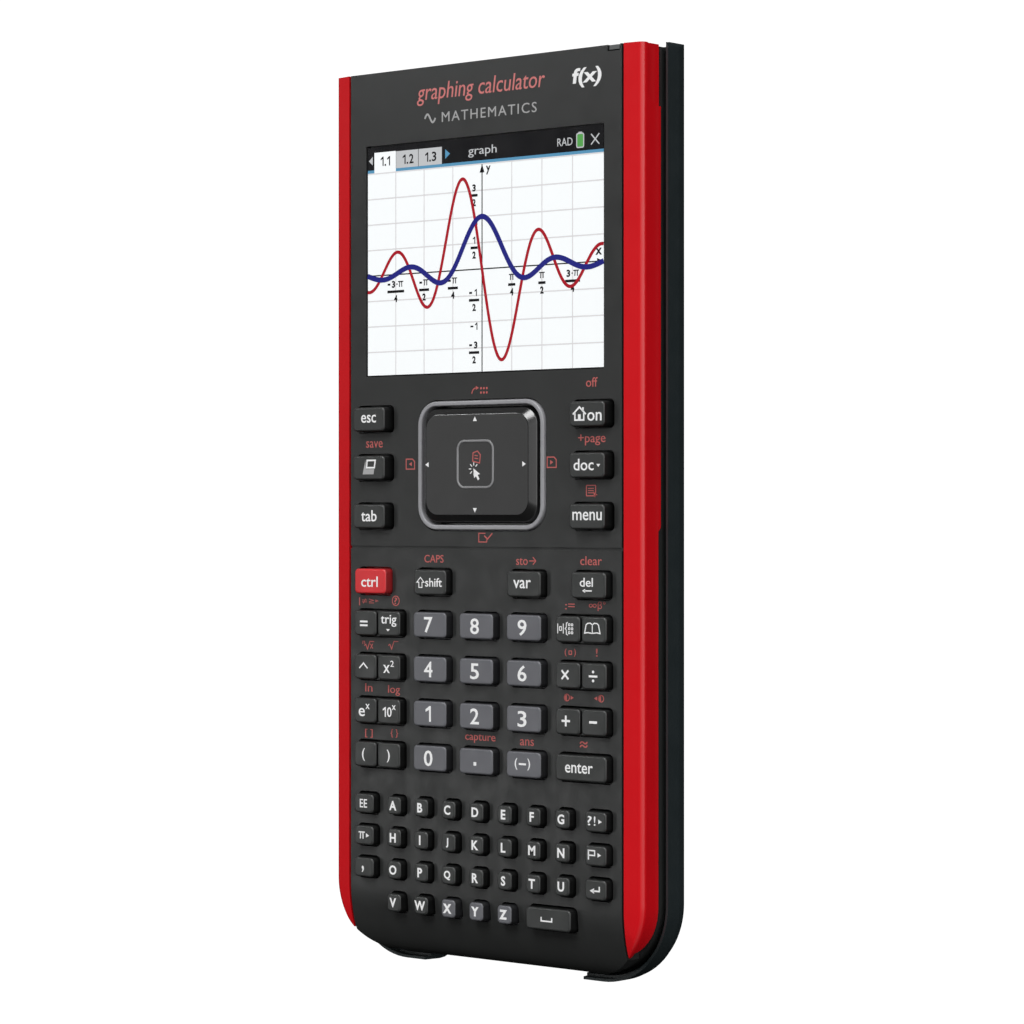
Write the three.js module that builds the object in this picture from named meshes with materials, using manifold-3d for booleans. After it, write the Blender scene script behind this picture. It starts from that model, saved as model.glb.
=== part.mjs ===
// A handheld graphing calculator lying on its back, with its hard slide cover stored on the back.
// Millimetres. +X right, +Y towards the screen end, +Z out of the keys; Z = 0 is the cover's outside face.
import * as THREE from "three";
import { mergeVertices } from "three/addons/utils/BufferGeometryUtils.js";
import Module from "manifold-3d";

const wasm = await Module();
wasm.setup();

// ---------------------------------------------------------------- driving dimensions

const GAP = 0.3; // clearance between neighbouring pieces

const FACE_Z = 15.0; // height of the black face
const BODY_HALF_W = 42.1; // half width over the red trims
const BODY_TOP = 93.45; // screen end of the body
const BODY_BOTTOM = -93.5; // letter-key end of the body
const BOTTOM_CORNER = 15; // plan radius of the two lower corners
const TOP_CORNER = 1.2; // plan radius of the two upper corners

const FACE_HALF_W = 37.2; // half width of the black face between the trims
const FACE_WALL = 1.6; // thickness of the front case
const SKIRT_WALL = 1.4;
const ROLL_START = -79; // where the face starts to roll back at its lower end
const ROLL_BASE_Z = 9.2; // height at which the roll meets the lower end
const FRONT_BASE_Z = 9.43; // lower edge of the front case
const BEZEL = 0.6; // thickness of the front case round the screen
const SEAM_Y = -7.45; // groove across the face
const SEAM_WIDTH = 0.6;
const SEAM_DEPTH = 0.4;

const TRIM_GAP = 0.5; // groove between the black face and a trim
const FACET_TILT = 0.16; // slope of the trim's front facet, in radians
const RIDGE_ROUND = 1.3; // radius over which the facet turns into the trim's side
const RIDGE_STEPS = 6;
const TRIM_WALL = 1.6;
const TRIM_BASE_HIGH = 9.43; // lower edge of the trims, lower half of the body
const TRIM_BASE_LOW = 8.64; // lower edge of the trims, upper half of the body
const TRIM_STEP_Y = -3.9; // where one becomes the other
const NOTCH_LENGTH = 12.4; // thumb notch in the trims at the screen end
const NOTCH_TOP_Z = 11.9;
const NOTCH_DEPTH = 0.8;

const COVER_HALF_W = 43.6;
const COVER_TOP = 94.1;
const COVER_BOTTOM = -95.3;
const COVER_FLOOR = 1.5;
const COVER_WALL = 1.0;
const COVER_END_WALL = 1.2;
const COVER_RIM_Z = 8.26; // front edge of the cover's walls
const COVER_ROUND = 4.5; // rounding of the cover's back edge
const RIM_LEDGE_Z = 6.8; // the wall is half as thick above this
const RAIL_Z = [5.2, 6.2]; // ribs of the cover that slide in the rear case's grooves
const RAIL_REACH = 1.5;
const RAIL_Y = [-75, 85];
const COVER_SLOT_HALF_W = 20.5; // cut-out in the cover's end wall
const COVER_SLOT_SLANT = 1.5;

const REAR_HALF_W = 41.9;
const REAR_BOTTOM = -93.3;
const REAR_TOP = 93.25;
const REAR_WALL = 2.2;
const REAR_FLOOR_Z = [1.8, 3.2];
const REAR_ROUND = 2.8;
const GROOVE_Z = [4.9, 6.5];
const GROOVE_DEPTH = 1.1;

const SCREEN = { x: 0, y: 53.37, w: 64.8, l: 48.6 }; // visible area
const WINDOW_Z = [13.0, 14.2]; // the window's border, under the bezel
const WINDOW_DROP = 0.25; // how far the raised middle of the window lies below the face
const LCD_Z = [11.5, 12.7];
const BACKLIGHT_Z = [10.0, 11.2];
const BOARD_Z = [8.8, 9.8];
const DOMES_Z = [10.1, 10.7];

const PAD = { x: 0, y: 9.7, w: 34.6, l: 26.8 }; // outline of the ring round the touchpad
const PAD_CORNER = 5;
const RING_WIDTH = 1.0;
const RING_RISE = 0.6;
const PAD_FLANGE_Z = [11.4, 12.1];
const RING_FLANGE_Z = [12.4, 13.1];
const PAD_SHOULDER_Z = 14.7; // where the pad's bevel begins
const PAD_BEVEL = 1.6;

const KEY_RISE = 1.8; // height of the key tops above the face
const KEY_DRAFT = 0.15; // how much narrower a key is at its top, each side
const KEY_CORNER = 0.9;
const KEY_FLANGE = 0.6; // how far a key's flange reaches past its cap
const KEY_FLANGE_Z = [12.0, 12.75];
const ROCKER_FLANGE_Z = [11.9, 12.6]; // lower, so that a double key can tilt
const CAP_FOOT_Z = 12.45; // lower end of the caps, inside their flanges
const SPLIT_WIDTH = 0.4; // line across the middle of a double key
const SPLIT_DEPTH = 0.5;
const KEY_FOOT_Z = 11.5; // underside of the plunger that presses the dome

const DOOR = { x: 0, y: -36, w: 60, l: 56 }; // battery door in the back of the rear case
const BATTERY = { x: 0, y: -36, w: 52, l: 38, z: [3.6, 8.4] };
const SCREW_Y = -60; // the door's screw, and the bridge of the rear case that it goes into
const BRIDGE_Z = [3.5, 5.5];
const POST_X = 33.5; // posts of the rear case that carry the board
const POST_Y = [-76, 12, 80];

const USB = { w: 8.0, l: 9.0, z: [4.5, 8.1] };
const DOCK = { w: 24, l: 6, z: [4.2, 7.4] };
const LIGHT = { x: 35.2, w: 2.6, l: 1.0, z: [13.5, 14.8] };

// Key groups: centres, cap sizes at the top and spacing.
const NAVIGATION = { w: 9.1, l: 5.1, rise: 2.3, play: 0.4 }; // taller, in wider holes
const FUNCTION = { w: 9.0, l: 5.3 };
const NUMBER = { w: 9.2, l: 5.3 };
const DOUBLE = { w: 13.2, l: 5.3 };
const SIDE = { w: 5.5, l: 4.1 };
const LETTER = { w: 3.8, l: 3.8 };
const SPACE_BAR = { w: 11.8, l: 4.5 };
const NAV_X = 29.95;
const NAV_Y = [19.7, 9.4, -0.9];
const FUNCTION_X = 29.95;
const FUNCTION_Y = -14.7;
const NUMBER_X = [-12.9, 0, 12.9];
const NUMBER_Y = [-23.6, -32.9, -42.2, -51.5];
const DOUBLE_X = 28.0;
const SIDE_X = 31.8;
const LETTER_PITCH = 7.7;
const LETTER_X0 = -3 * LETTER_PITCH;
const LETTER_Y = [-62.0, -68.8, -75.6, -82.5];
const SPACE_X = 19.4;

const BLACK = { color: 0x363837, roughness: 0.45, metalness: 0 };
const KEY_BLACK = { color: 0x3e403f, roughness: 0.5, metalness: 0 };
const KEY_GREY = { color: 0x58565f, roughness: 0.5, metalness: 0 };
const RED = { color: 0xc41e25, roughness: 0.25, metalness: 0 };
const COVER_BLACK = { color: 0x1e2324, roughness: 0.5, metalness: 0 };
const RING_GREY = { color: 0x969699, roughness: 0.3, metalness: 0.6 };
const GLASS = { color: 0x101214, roughness: 0.05, metalness: 0 };
const SCREEN_WHITE = { color: 0xf4f6f8, roughness: 0.6, metalness: 0 };
const BOARD_GREEN = { color: 0x1f5a34, roughness: 0.6, metalness: 0 };
const RUBBER = { color: 0xb9bcbc, roughness: 0.8, metalness: 0 };
const STEEL = { color: 0x9a9c9e, roughness: 0.3, metalness: 1 };
const BATTERY_GREY = { color: 0x4a4f55, roughness: 0.6, metalness: 0 };
const CLEAR = { color: 0xdfe4e2, roughness: 0.2, metalness: 0 };

// ---------------------------------------------------------------- solids

const X = new THREE.Vector3(1, 0, 0);
const Y = new THREE.Vector3(0, 1, 0);
const Z = new THREE.Vector3(0, 0, 1);

// A closed three.js geometry as a solid that can be joined and cut.
function solid(geometry) {
  const bare = geometry.clone();
  bare.deleteAttribute("normal");
  bare.deleteAttribute("uv");
  const merged = mergeVertices(bare, 1e-4);
  return new wasm.Manifold(
    new wasm.Mesh({
      numProp: 3,
      vertProperties: new Float32Array(merged.attributes.position.array),
      triVerts: new Uint32Array(merged.index.array),
    }),
  );
}

function join(...solids) {
  return solids.reduce((whole, next) => whole.add(next));
}

function cut(whole, ...tools) {
  return tools.reduce((rest, tool) => rest.subtract(tool), whole);
}

function block(x0, x1, y0, y1, z0, z1) {
  const box = new THREE.BoxGeometry(x1 - x0, y1 - y0, z1 - z0);
  return solid(box.translate((x0 + x1) / 2, (y0 + y1) / 2, (z0 + z1) / 2));
}

// A block given by a plan rectangle {x, y, w, l}.
function plate({ x, y, w, l }, z0, z1) {
  return block(x - w / 2, x + w / 2, y - l / 2, y + l / 2, z0, z1);
}

// A plan outline pulled up from z0 to z1; round is the rounding of its lower edge.
function slab(shape, z0, z1, { round = 0, steps = 2, roundSteps = 4 } = {}) {
  const options = {
    depth: z1 - z0 - round,
    curveSegments: steps,
    bevelEnabled: round > 0,
    bevelThickness: round,
    bevelSize: round,
    bevelOffset: -round,
    bevelSegments: roundSteps,
  };
  const pulled = solid(new THREE.ExtrudeGeometry(shape, options).translate(0, 0, z0 + round));
  if (round === 0) return pulled;
  return pulled.subtract(block(-100, 100, -120, 120, z1, z1 + round + 1));
}

// A Y-Z outline pulled along X.
function alongX(shape, x0, x1, steps = 8) {
  const options = { depth: x1 - x0, curveSegments: steps, bevelEnabled: false };
  const turn = new THREE.Matrix4().makeBasis(Y, Z, X).setPosition(x0, 0, 0);
  return solid(new THREE.ExtrudeGeometry(shape, options).applyMatrix4(turn));
}

// An X-Z outline pulled along Y.
function alongY(points, y0, y1) {
  const shape = new THREE.Shape(points.map(([x, z]) => new THREE.Vector2(x, z)));
  const options = { depth: y1 - y0, bevelEnabled: false };
  const turn = new THREE.Matrix4().makeBasis(X, Z, Y.clone().negate()).setPosition(0, y1, 0);
  return solid(new THREE.ExtrudeGeometry(shape, options).applyMatrix4(turn));
}

// A rounded rectangle, each end with its own corner radius.
function outline(x0, x1, y0, y1, bottomRadius, topRadius = bottomRadius) {
  const b = bottomRadius;
  const t = topRadius;
  const shape = new THREE.Shape();
  shape.moveTo(x0 + b, y0);
  shape.lineTo(x1 - b, y0);
  shape.absarc(x1 - b, y0 + b, b, -Math.PI / 2, 0, false);
  shape.lineTo(x1, y1 - t);
  shape.absarc(x1 - t, y1 - t, t, 0, Math.PI / 2, false);
  shape.lineTo(x0 + t, y1);
  shape.absarc(x0 + t, y1 - t, t, Math.PI / 2, Math.PI, false);
  shape.lineTo(x0, y0 + b);
  shape.absarc(x0 + b, y0 + b, b, Math.PI, 1.5 * Math.PI, false);
  return shape;
}

function roundedPlan({ x, y, w, l }, grow, radius) {
  const [hw, hl] = [w / 2 + grow, l / 2 + grow];
  return outline(x - hw, x + hw, y - hl, y + hl, radius);
}

const calculator = new THREE.Group();

function addPiece(name, made, look) {
  const mesh = made.getMesh();
  const geometry = new THREE.BufferGeometry();
  geometry.setAttribute("position", new THREE.BufferAttribute(mesh.vertProperties.slice(), 3));
  geometry.setIndex(new THREE.BufferAttribute(mesh.triVerts.slice(), 1));
  geometry.computeVertexNormals();
  const piece = new THREE.Mesh(geometry, new THREE.MeshStandardMaterial(look));
  piece.name = name;
  calculator.add(piece);
  return piece;
}

// ---------------------------------------------------------------- keys

// One key position: its name, centre and the size of its top. Play is extra room in X on each side.
function keyAt(name, x, y, size, look = KEY_BLACK) {
  return { name, x, y, rise: KEY_RISE, play: 0, ...size, look };
}

const navigationNames = [["key_esc", "key_calculator", "key_tab"], ["key_home_on", "key_doc", "key_menu"]];
const navigationKeys = navigationNames.flatMap((names, side) =>
  names.map((name, row) => keyAt(name, (2 * side - 1) * NAV_X, NAV_Y[row], NAVIGATION)),
);
const functionKeys = [
  keyAt("key_ctrl", -FUNCTION_X, FUNCTION_Y, FUNCTION, RED),
  keyAt("key_shift", NUMBER_X[0], FUNCTION_Y, FUNCTION),
  keyAt("key_var", NUMBER_X[2], FUNCTION_Y, FUNCTION),
  keyAt("key_del", FUNCTION_X, FUNCTION_Y, FUNCTION),
];
const numberNames = [
  ["key_7", "key_8", "key_9"],
  ["key_4", "key_5", "key_6"],
  ["key_1", "key_2", "key_3"],
  ["key_0", "key_point", "key_negative"],
];
const numberKeys = numberNames.flatMap((names, row) =>
  names.map((name, column) => keyAt(name, NUMBER_X[column], NUMBER_Y[row], NUMBER, KEY_GREY)),
);
const leftDoubles = ["key_equals_trig", "key_power_square", "key_exp_tenpower", "key_brackets"];
const rightDoubles = ["key_template_catalogue", "key_times_divide", "key_plus_minus"];
const doubleKeys = [
  ...leftDoubles.map((name, row) => keyAt(name, -DOUBLE_X, NUMBER_Y[row], DOUBLE)),
  ...rightDoubles.map((name, row) => keyAt(name, DOUBLE_X, NUMBER_Y[row], DOUBLE)),
];
const enterKey = keyAt("key_enter", DOUBLE_X, NUMBER_Y[3], DOUBLE);
const sideNames = [["key_ee", "key_pi", "key_comma"], ["key_punctuation", "key_flag", "key_return"]];
const sideKeys = sideNames.flatMap((names, side) =>
  names.map((name, row) => keyAt(name, (2 * side - 1) * SIDE_X, LETTER_Y[row], SIDE)),
);
const spaceKey = keyAt("key_space", SPACE_X, LETTER_Y[3], SPACE_BAR);
const singleKeys = [...navigationKeys, ...functionKeys, ...numberKeys, enterKey, ...sideKeys, spaceKey];

const letterRows = ["ABCDEFG", "HIJKLMN", "OPQRSTU", "VWXYZ"].map((letters, row) => ({
  name: `letter_keys_${letters[0]}_to_${letters.at(-1)}`,
  caps: [...letters].map((letter, i) =>
    keyAt(letter, LETTER_X0 + i * LETTER_PITCH, LETTER_Y[row], LETTER),
  ),
}));

// The tapered cap: its lower end stays inside the front case's thickness and joins the flange.
function cap(key) {
  const rise = key.rise - 0.1;
  const top = FACE_Z + key.rise;
  const options = {
    depth: top - 2 * rise - CAP_FOOT_Z,
    curveSegments: 1,
    bevelThickness: rise,
    bevelSize: KEY_DRAFT,
    bevelOffset: -KEY_DRAFT,
    bevelSegments: 1,
  };
  const shape = roundedPlan(key, KEY_DRAFT, KEY_CORNER);
  return solid(new THREE.ExtrudeGeometry(shape, options).translate(0, 0, CAP_FOOT_Z + rise));
}

function plunger(x, y) {
  return block(x - 0.9, x + 0.9, y - 0.9, y + 0.9, KEY_FOOT_Z, KEY_FLANGE_Z[0] + 0.2);
}

function flange(key, height) {
  const reach = KEY_DRAFT + KEY_FLANGE;
  const plan = { x: key.x, y: key.y, w: key.w + 2 * (reach + key.play), l: key.l + 2 * reach };
  return plate(plan, ...height);
}

function singleKey(key) {
  return join(cap(key), flange(key, KEY_FLANGE_Z), plunger(key.x, key.y));
}

// A double key: one cap with a split line, tilting about its middle, with a plunger under each half.
function doubleKey(key) {
  const top = FACE_Z + key.rise;
  const split = plate({ x: key.x, y: key.y, w: SPLIT_WIDTH, l: 2 * key.l }, top - SPLIT_DEPTH, top + 1);
  const ends = [-1, 1].map((side) => plunger(key.x + (side * key.w) / 4, key.y));
  return join(cut(cap(key), split), flange(key, ROCKER_FLANGE_Z), ...ends);
}

// A row of letter caps moulded on one runner under the face.
function letterRow({ caps }) {
  const reach = KEY_DRAFT + KEY_FLANGE;
  const first = caps[0];
  const last = caps.at(-1);
  const runner = block(
    first.x - first.w / 2 - reach,
    last.x + last.w / 2 + reach,
    first.y - first.l / 2 - reach,
    first.y + first.l / 2 + reach,
    ...KEY_FLANGE_Z,
  );
  return join(runner, ...caps.flatMap((key) => [cap(key), plunger(key.x, key.y)]));
}

function keyHole(key) {
  const wide = { ...key, w: key.w + 2 * key.play };
  const shape = roundedPlan(wide, KEY_DRAFT + GAP, KEY_CORNER + GAP);
  return slab(shape, FACE_Z - FACE_WALL - 1, FACE_Z + 1, { steps: 1 });
}

// ---------------------------------------------------------------- shells

// The body's plan outline, pulled in by inset.
function bodyPlan(inset) {
  return outline(
    -BODY_HALF_W + inset,
    BODY_HALF_W - inset,
    BODY_BOTTOM + inset,
    BODY_TOP - inset,
    BOTTOM_CORNER - inset,
    TOP_CORNER,
  );
}

// The side view of the body with its lower end rolled back, pulled in by inset.
function rolledSide(inset) {
  const reach = ROLL_START - BODY_BOTTOM - inset;
  const drop = FACE_Z - ROLL_BASE_Z - inset;
  const shape = new THREE.Shape();
  shape.moveTo(BODY_TOP + 5, 0);
  shape.lineTo(BODY_TOP + 5, FACE_Z - inset);
  shape.lineTo(ROLL_START, FACE_Z - inset);
  shape.absellipse(ROLL_START, ROLL_BASE_Z, reach, drop, Math.PI / 2, Math.PI, false);
  shape.lineTo(ROLL_START - reach, 0);
  return alongX(shape, -60, 60, 7);
}

function frontCase() {
  const walls = SKIRT_WALL;
  const outer = slab(bodyPlan(0), FRONT_BASE_Z, FACE_Z, { steps: 10 })
    .intersect(rolledSide(0))
    .intersect(block(-FACE_HALF_W, FACE_HALF_W, -120, 120, 0, 20));
  const inner = slab(bodyPlan(FACE_WALL), FRONT_BASE_Z - 1, FACE_Z - FACE_WALL, { steps: 6 })
    .intersect(rolledSide(FACE_WALL))
    .intersect(block(-FACE_HALF_W + walls, FACE_HALF_W - walls, -120, 120, 0, 20));
  const pocket = { ...SCREEN, w: SCREEN.w + 5.2, l: SCREEN.l + 4.4 };
  const screenHole = { ...SCREEN, w: SCREEN.w + 2 * GAP, l: SCREEN.l + 2 * GAP };
  const seam = block(-50, 50, SEAM_Y - SEAM_WIDTH / 2, SEAM_Y + SEAM_WIDTH / 2, FACE_Z - SEAM_DEPTH, 20);
  const padHole = slab(roundedPlan(PAD, GAP, PAD_CORNER + GAP), 10, 20, { steps: 5 });
  const lightHole = block(LIGHT.x - LIGHT.w / 2 - GAP, LIGHT.x + LIGHT.w / 2 + GAP, 92, 95, LIGHT.z[0] - GAP, 20);
  const letterCaps = letterRows.flatMap((row) => row.caps);
  const holes = [...singleKeys, ...doubleKeys, ...letterCaps].map(keyHole);
  return cut(
    outer,
    inner,
    plate(pocket, FACE_Z - FACE_WALL - 1, FACE_Z - BEZEL),
    plate(screenHole, 10, 20),
    seam,
    padHole,
    lightHole,
    ...holes,
  );
}

// The trim's outside line in X-Z: from its inner edge down the facet and over the ridge to its side.
function trimLine() {
  const inner = FACE_HALF_W + TRIM_GAP;
  const middleX = BODY_HALF_W - RIDGE_ROUND;
  const facetEndX = middleX + RIDGE_ROUND * Math.sin(FACET_TILT);
  const facetEndZ = FACE_Z - (facetEndX - inner) * Math.tan(FACET_TILT);
  const middleZ = facetEndZ - RIDGE_ROUND * Math.cos(FACET_TILT);
  const line = [[inner, FACE_Z]];
  for (let i = 0; i <= RIDGE_STEPS; i++) {
    const turn = FACET_TILT + (i / RIDGE_STEPS) * (Math.PI / 2 - FACET_TILT);
    line.push([middleX + RIDGE_ROUND * Math.sin(turn), middleZ + RIDGE_ROUND * Math.cos(turn)]);
  }
  return line;
}

// The red strip: an L in cross section, following the body's side and round its lower corner.
function sideTrim() {
  const inner = FACE_HALF_W + TRIM_GAP;
  const outside = BODY_HALF_W + 5;
  const whole = slab(bodyPlan(0), TRIM_BASE_LOW, FACE_Z, { steps: 10 })
    .intersect(rolledSide(0))
    .intersect(block(inner, 60, -120, 120, 0, 20));
  const ceiling = FACE_Z - TRIM_WALL;
  const hollowSection = [
    [inner - 5, 0],
    [outside, 0],
    [outside, ceiling - (outside - inner) * Math.tan(FACET_TILT)],
    [inner, ceiling],
    [inner - 5, ceiling],
  ];
  const hollow = alongY(hollowSection, -120, 120)
    .intersect(slab(bodyPlan(TRIM_WALL), 0, 20, { steps: 10 }))
    .intersect(rolledSide(TRIM_WALL));
  const line = trimLine();
  const [, sideZ] = line.at(-1);
  const above = [[inner, FACE_Z + 5], [outside, FACE_Z + 5], [outside, sideZ], ...line.reverse()].reverse();
  return cut(whole, hollow, alongY(above, -120, 120), stepBelow(TRIM_BASE_HIGH), thumbNotch());
}

// Everything under height z in the lower half of the body, ending in a 45 degree ramp.
function stepBelow(z) {
  const shape = new THREE.Shape();
  shape.moveTo(-120, 0);
  shape.lineTo(TRIM_STEP_Y + z, 0);
  shape.lineTo(TRIM_STEP_Y, z);
  shape.lineTo(-120, z);
  return alongX(shape, 30, 60);
}

function thumbNotch() {
  const start = BODY_TOP - NOTCH_LENGTH;
  const shape = new THREE.Shape();
  shape.moveTo(start, 0);
  shape.lineTo(BODY_TOP + 5, 0);
  shape.lineTo(BODY_TOP + 5, NOTCH_TOP_Z);
  shape.lineTo(start + 2.4, NOTCH_TOP_Z);
  shape.lineTo(start, NOTCH_TOP_Z - 2.4);
  return alongX(shape, BODY_HALF_W - NOTCH_DEPTH, 60);
}

// A shell's outside or inside: the plan of a long tray, with its lower edge rounded all round but at its
// screen end, which is square there.
function tray({ halfW, bottom, top, corner, z0, z1, round, roundSteps }) {
  const beyond = 20;
  const long = outline(-halfW, halfW, bottom, top + beyond, corner, round + 1);
  const plan = outline(-halfW, halfW, bottom, top, corner, TOP_CORNER);
  return slab(long, z0, z1, { round, steps: 10, roundSteps }).intersect(slab(plan, z0, z1, { steps: 10 }));
}

// A block on one side of the body, between distances near and far from its middle.
function sideBlock(side, near, far, y0, y1, z0, z1) {
  return side > 0 ? block(near, far, y0, y1, z0, z1) : block(-far, -near, y0, y1, z0, z1);
}

function rearCase() {
  const size = { halfW: REAR_HALF_W, bottom: REAR_BOTTOM, top: REAR_TOP, corner: BOTTOM_CORNER };
  const topZ = TRIM_BASE_HIGH - GAP;
  const outer = tray({ ...size, z0: REAR_FLOOR_Z[0], z1: topZ, round: REAR_ROUND, roundSteps: 3 });
  const hollow = outline(
    -REAR_HALF_W + REAR_WALL,
    REAR_HALF_W - REAR_WALL,
    REAR_BOTTOM + REAR_WALL,
    REAR_TOP - REAR_WALL,
    BOTTOM_CORNER - REAR_WALL,
    TOP_CORNER,
  );
  const inner = slab(hollow, REAR_FLOOR_Z[1], topZ + 1, { steps: 8 });
  const grooves = [-1, 1].map((side) =>
    sideBlock(side, REAR_HALF_W - GROOVE_DEPTH, 60, -120, 120, ...GROOVE_Z),
  );
  const doorHole = plate({ ...DOOR, w: DOOR.w + 2 * GAP, l: DOOR.l + 2 * GAP }, 0, REAR_FLOOR_Z[1] + 1);
  const bridge = cut(
    plate({ x: 0, y: SCREW_Y, w: DOOR.w + 6, l: 6 }, ...BRIDGE_Z),
    disc(0, SCREW_Y, 1.1, 0, 10, 12),
  );
  const bridgeFeet = [-1, 1].map((side) =>
    sideBlock(side, DOOR.w / 2 + GAP + 0.2, DOOR.w / 2 + 3, SCREW_Y - 3, SCREW_Y + 3, 3, BRIDGE_Z[0] + 0.5),
  );
  const posts = POST_Y.flatMap((y) =>
    [-1, 1].map((side) => disc(side * POST_X, y, 2.2, REAR_FLOOR_Z[1] - 0.5, BOARD_Z[0] - GAP, 10)),
  );
  const usbHole = block(-USB.w / 2 - GAP, USB.w / 2 + GAP, REAR_TOP - 5, 120, USB.z[0] - GAP, USB.z[1] + GAP);
  const [dockLow, dockHigh] = DOCK.z;
  const dockHole = plate({ x: 0, y: REAR_BOTTOM, w: DOCK.w + 2 * GAP, l: 10 }, dockLow - GAP, dockHigh + GAP);
  const shell = cut(outer, inner, ...[-1, 1].map(loweredSide), ...grooves, doorHole, usbHole, dockHole);
  return join(shell, bridge, ...bridgeFeet, ...posts);
}

// What comes off the rear case's side wall in the upper half, so that it follows the trim's lower edge.
function loweredSide(side) {
  const topZ = TRIM_BASE_HIGH - GAP;
  const sideTopZ = TRIM_BASE_LOW - GAP;
  const shape = new THREE.Shape();
  shape.moveTo(120, sideTopZ);
  shape.lineTo(120, 20);
  shape.lineTo(TRIM_STEP_Y, 20);
  shape.lineTo(TRIM_STEP_Y, topZ);
  shape.lineTo(TRIM_STEP_Y + topZ - sideTopZ, sideTopZ);
  const near = FACE_HALF_W - 0.1;
  return side > 0 ? alongX(shape, near, 60) : alongX(shape, -60, -near);
}

function slideCover() {
  const corner = BOTTOM_CORNER + COVER_HALF_W - BODY_HALF_W;
  const outer = tray({
    halfW: COVER_HALF_W,
    bottom: COVER_BOTTOM,
    top: COVER_TOP,
    corner,
    z0: 0,
    z1: COVER_RIM_Z,
    round: COVER_ROUND,
    roundSteps: 5,
  });
  const open = (inset, endInset) =>
    outline(
      -COVER_HALF_W + inset,
      COVER_HALF_W - inset,
      COVER_BOTTOM + endInset,
      COVER_TOP + 20,
      corner - inset,
      COVER_ROUND,
    );
  const round = COVER_ROUND - COVER_WALL;
  const inner = slab(open(COVER_WALL, COVER_END_WALL), COVER_FLOOR, COVER_RIM_Z + 1, {
    round,
    steps: 10,
    roundSteps: 4,
  });
  const ledge = slab(open(COVER_WALL / 2, COVER_END_WALL / 2), RIM_LEDGE_Z, COVER_RIM_Z + 1, { steps: 10 });
  const slot = alongY(
    [
      [-COVER_SLOT_HALF_W, COVER_FLOOR + 0.2],
      [COVER_SLOT_HALF_W, COVER_FLOOR + 0.2],
      [COVER_SLOT_HALF_W + COVER_SLOT_SLANT, COVER_RIM_Z + 1],
      [-COVER_SLOT_HALF_W - COVER_SLOT_SLANT, COVER_RIM_Z + 1],
    ],
    COVER_BOTTOM - 1,
    COVER_BOTTOM + COVER_END_WALL + 1.5,
  );
  const tip = COVER_HALF_W - COVER_WALL - RAIL_REACH;
  const rails = [-1, 1].map((side) =>
    sideBlock(side, tip, COVER_HALF_W - COVER_WALL / 2, ...RAIL_Y, ...RAIL_Z),
  );
  return join(cut(outer, inner, ledge, slot), ...rails);
}

// ---------------------------------------------------------------- screen, touchpad and inner parts

// The window's border sits under the bezel; its raised middle fills the opening.
function displayWindow() {
  const border = plate({ ...SCREEN, w: SCREEN.w + 4.4, l: SCREEN.l + 3.6 }, ...WINDOW_Z);
  return join(border, plate(SCREEN, WINDOW_Z[0], FACE_Z - WINDOW_DROP));
}

function lcdPanel() {
  return plate({ ...SCREEN, w: SCREEN.w + 4, l: SCREEN.l + 5 }, ...LCD_Z);
}

function backlightFrame() {
  const tray = plate({ ...SCREEN, w: 70.4, l: SCREEN.l + 7 }, BACKLIGHT_Z[0], LCD_Z[1] - 0.4);
  const well = plate({ ...SCREEN, w: SCREEN.w + 4 + 2 * GAP, l: SCREEN.l + 5 + 2 * GAP }, BACKLIGHT_Z[1], 20);
  return cut(tray, well);
}

function touchpadRing() {
  const top = FACE_Z + RING_RISE;
  const rim = slab(roundedPlan(PAD, 0, PAD_CORNER), RING_FLANGE_Z[0], top, { steps: 5 });
  const flangePlan = { ...PAD, w: PAD.w + 2, l: PAD.l + 2 };
  const foot = slab(roundedPlan(flangePlan, 0, PAD_CORNER + 1), ...RING_FLANGE_Z, { steps: 5 });
  const hole = slab(roundedPlan(PAD, -RING_WIDTH, PAD_CORNER - RING_WIDTH), 0, 30, { steps: 5 });
  return cut(join(rim, foot), hole);
}

// The pad clicks down as one piece; its flange sits under the ring.
function touchpad() {
  const inset = RING_WIDTH + GAP;
  const top = FACE_Z + RING_RISE;
  const options = {
    depth: PAD_SHOULDER_Z - PAD_FLANGE_Z[1],
    curveSegments: 5,
    bevelThickness: top - PAD_SHOULDER_Z,
    bevelSize: PAD_BEVEL,
    bevelOffset: -PAD_BEVEL,
    bevelSegments: 1,
  };
  const shape = roundedPlan(PAD, -inset, PAD_CORNER - inset);
  const raised = solid(new THREE.ExtrudeGeometry(shape, options).translate(0, 0, PAD_FLANGE_Z[1]));
  const trimmed = raised.subtract(plate({ ...PAD, w: 50, l: 50 }, 0, PAD_FLANGE_Z[1] - 0.1));
  const foot = plate({ ...PAD, w: PAD.w, l: PAD.l }, ...PAD_FLANGE_Z);
  return join(trimmed, foot);
}

function mainCircuitBoard() {
  const board = block(-35, 35, -84, 85, ...BOARD_Z);
  const chips = [
    block(-8, 8, 44, 60, 7.4, BOARD_Z[0] + 0.1),
    block(14, 26, 46, 58, 7.6, BOARD_Z[0] + 0.1),
    block(-26, -16, 30, 44, 7.7, BOARD_Z[0] + 0.1),
  ];
  return join(board, ...chips);
}

function domeSheet() {
  return block(-34.4, 34.4, -86, 23.4, ...DOMES_Z);
}

function batteryPack() {
  return slab(roundedPlan(BATTERY, 0, 2), ...BATTERY.z);
}

function batteryDoor() {
  const panel = slab(roundedPlan(DOOR, 0, 1), REAR_FLOOR_Z[0], REAR_FLOOR_Z[1]);
  const screwHole = disc(0, SCREW_Y, 1.9, 0, 10, 16);
  return cut(panel, screwHole);
}

function disc(x, y, radius, z0, z1, sides) {
  const round = new THREE.CylinderGeometry(radius, radius, z1 - z0, sides);
  return solid(round.rotateX(Math.PI / 2).translate(x, y, (z0 + z1) / 2));
}

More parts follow.
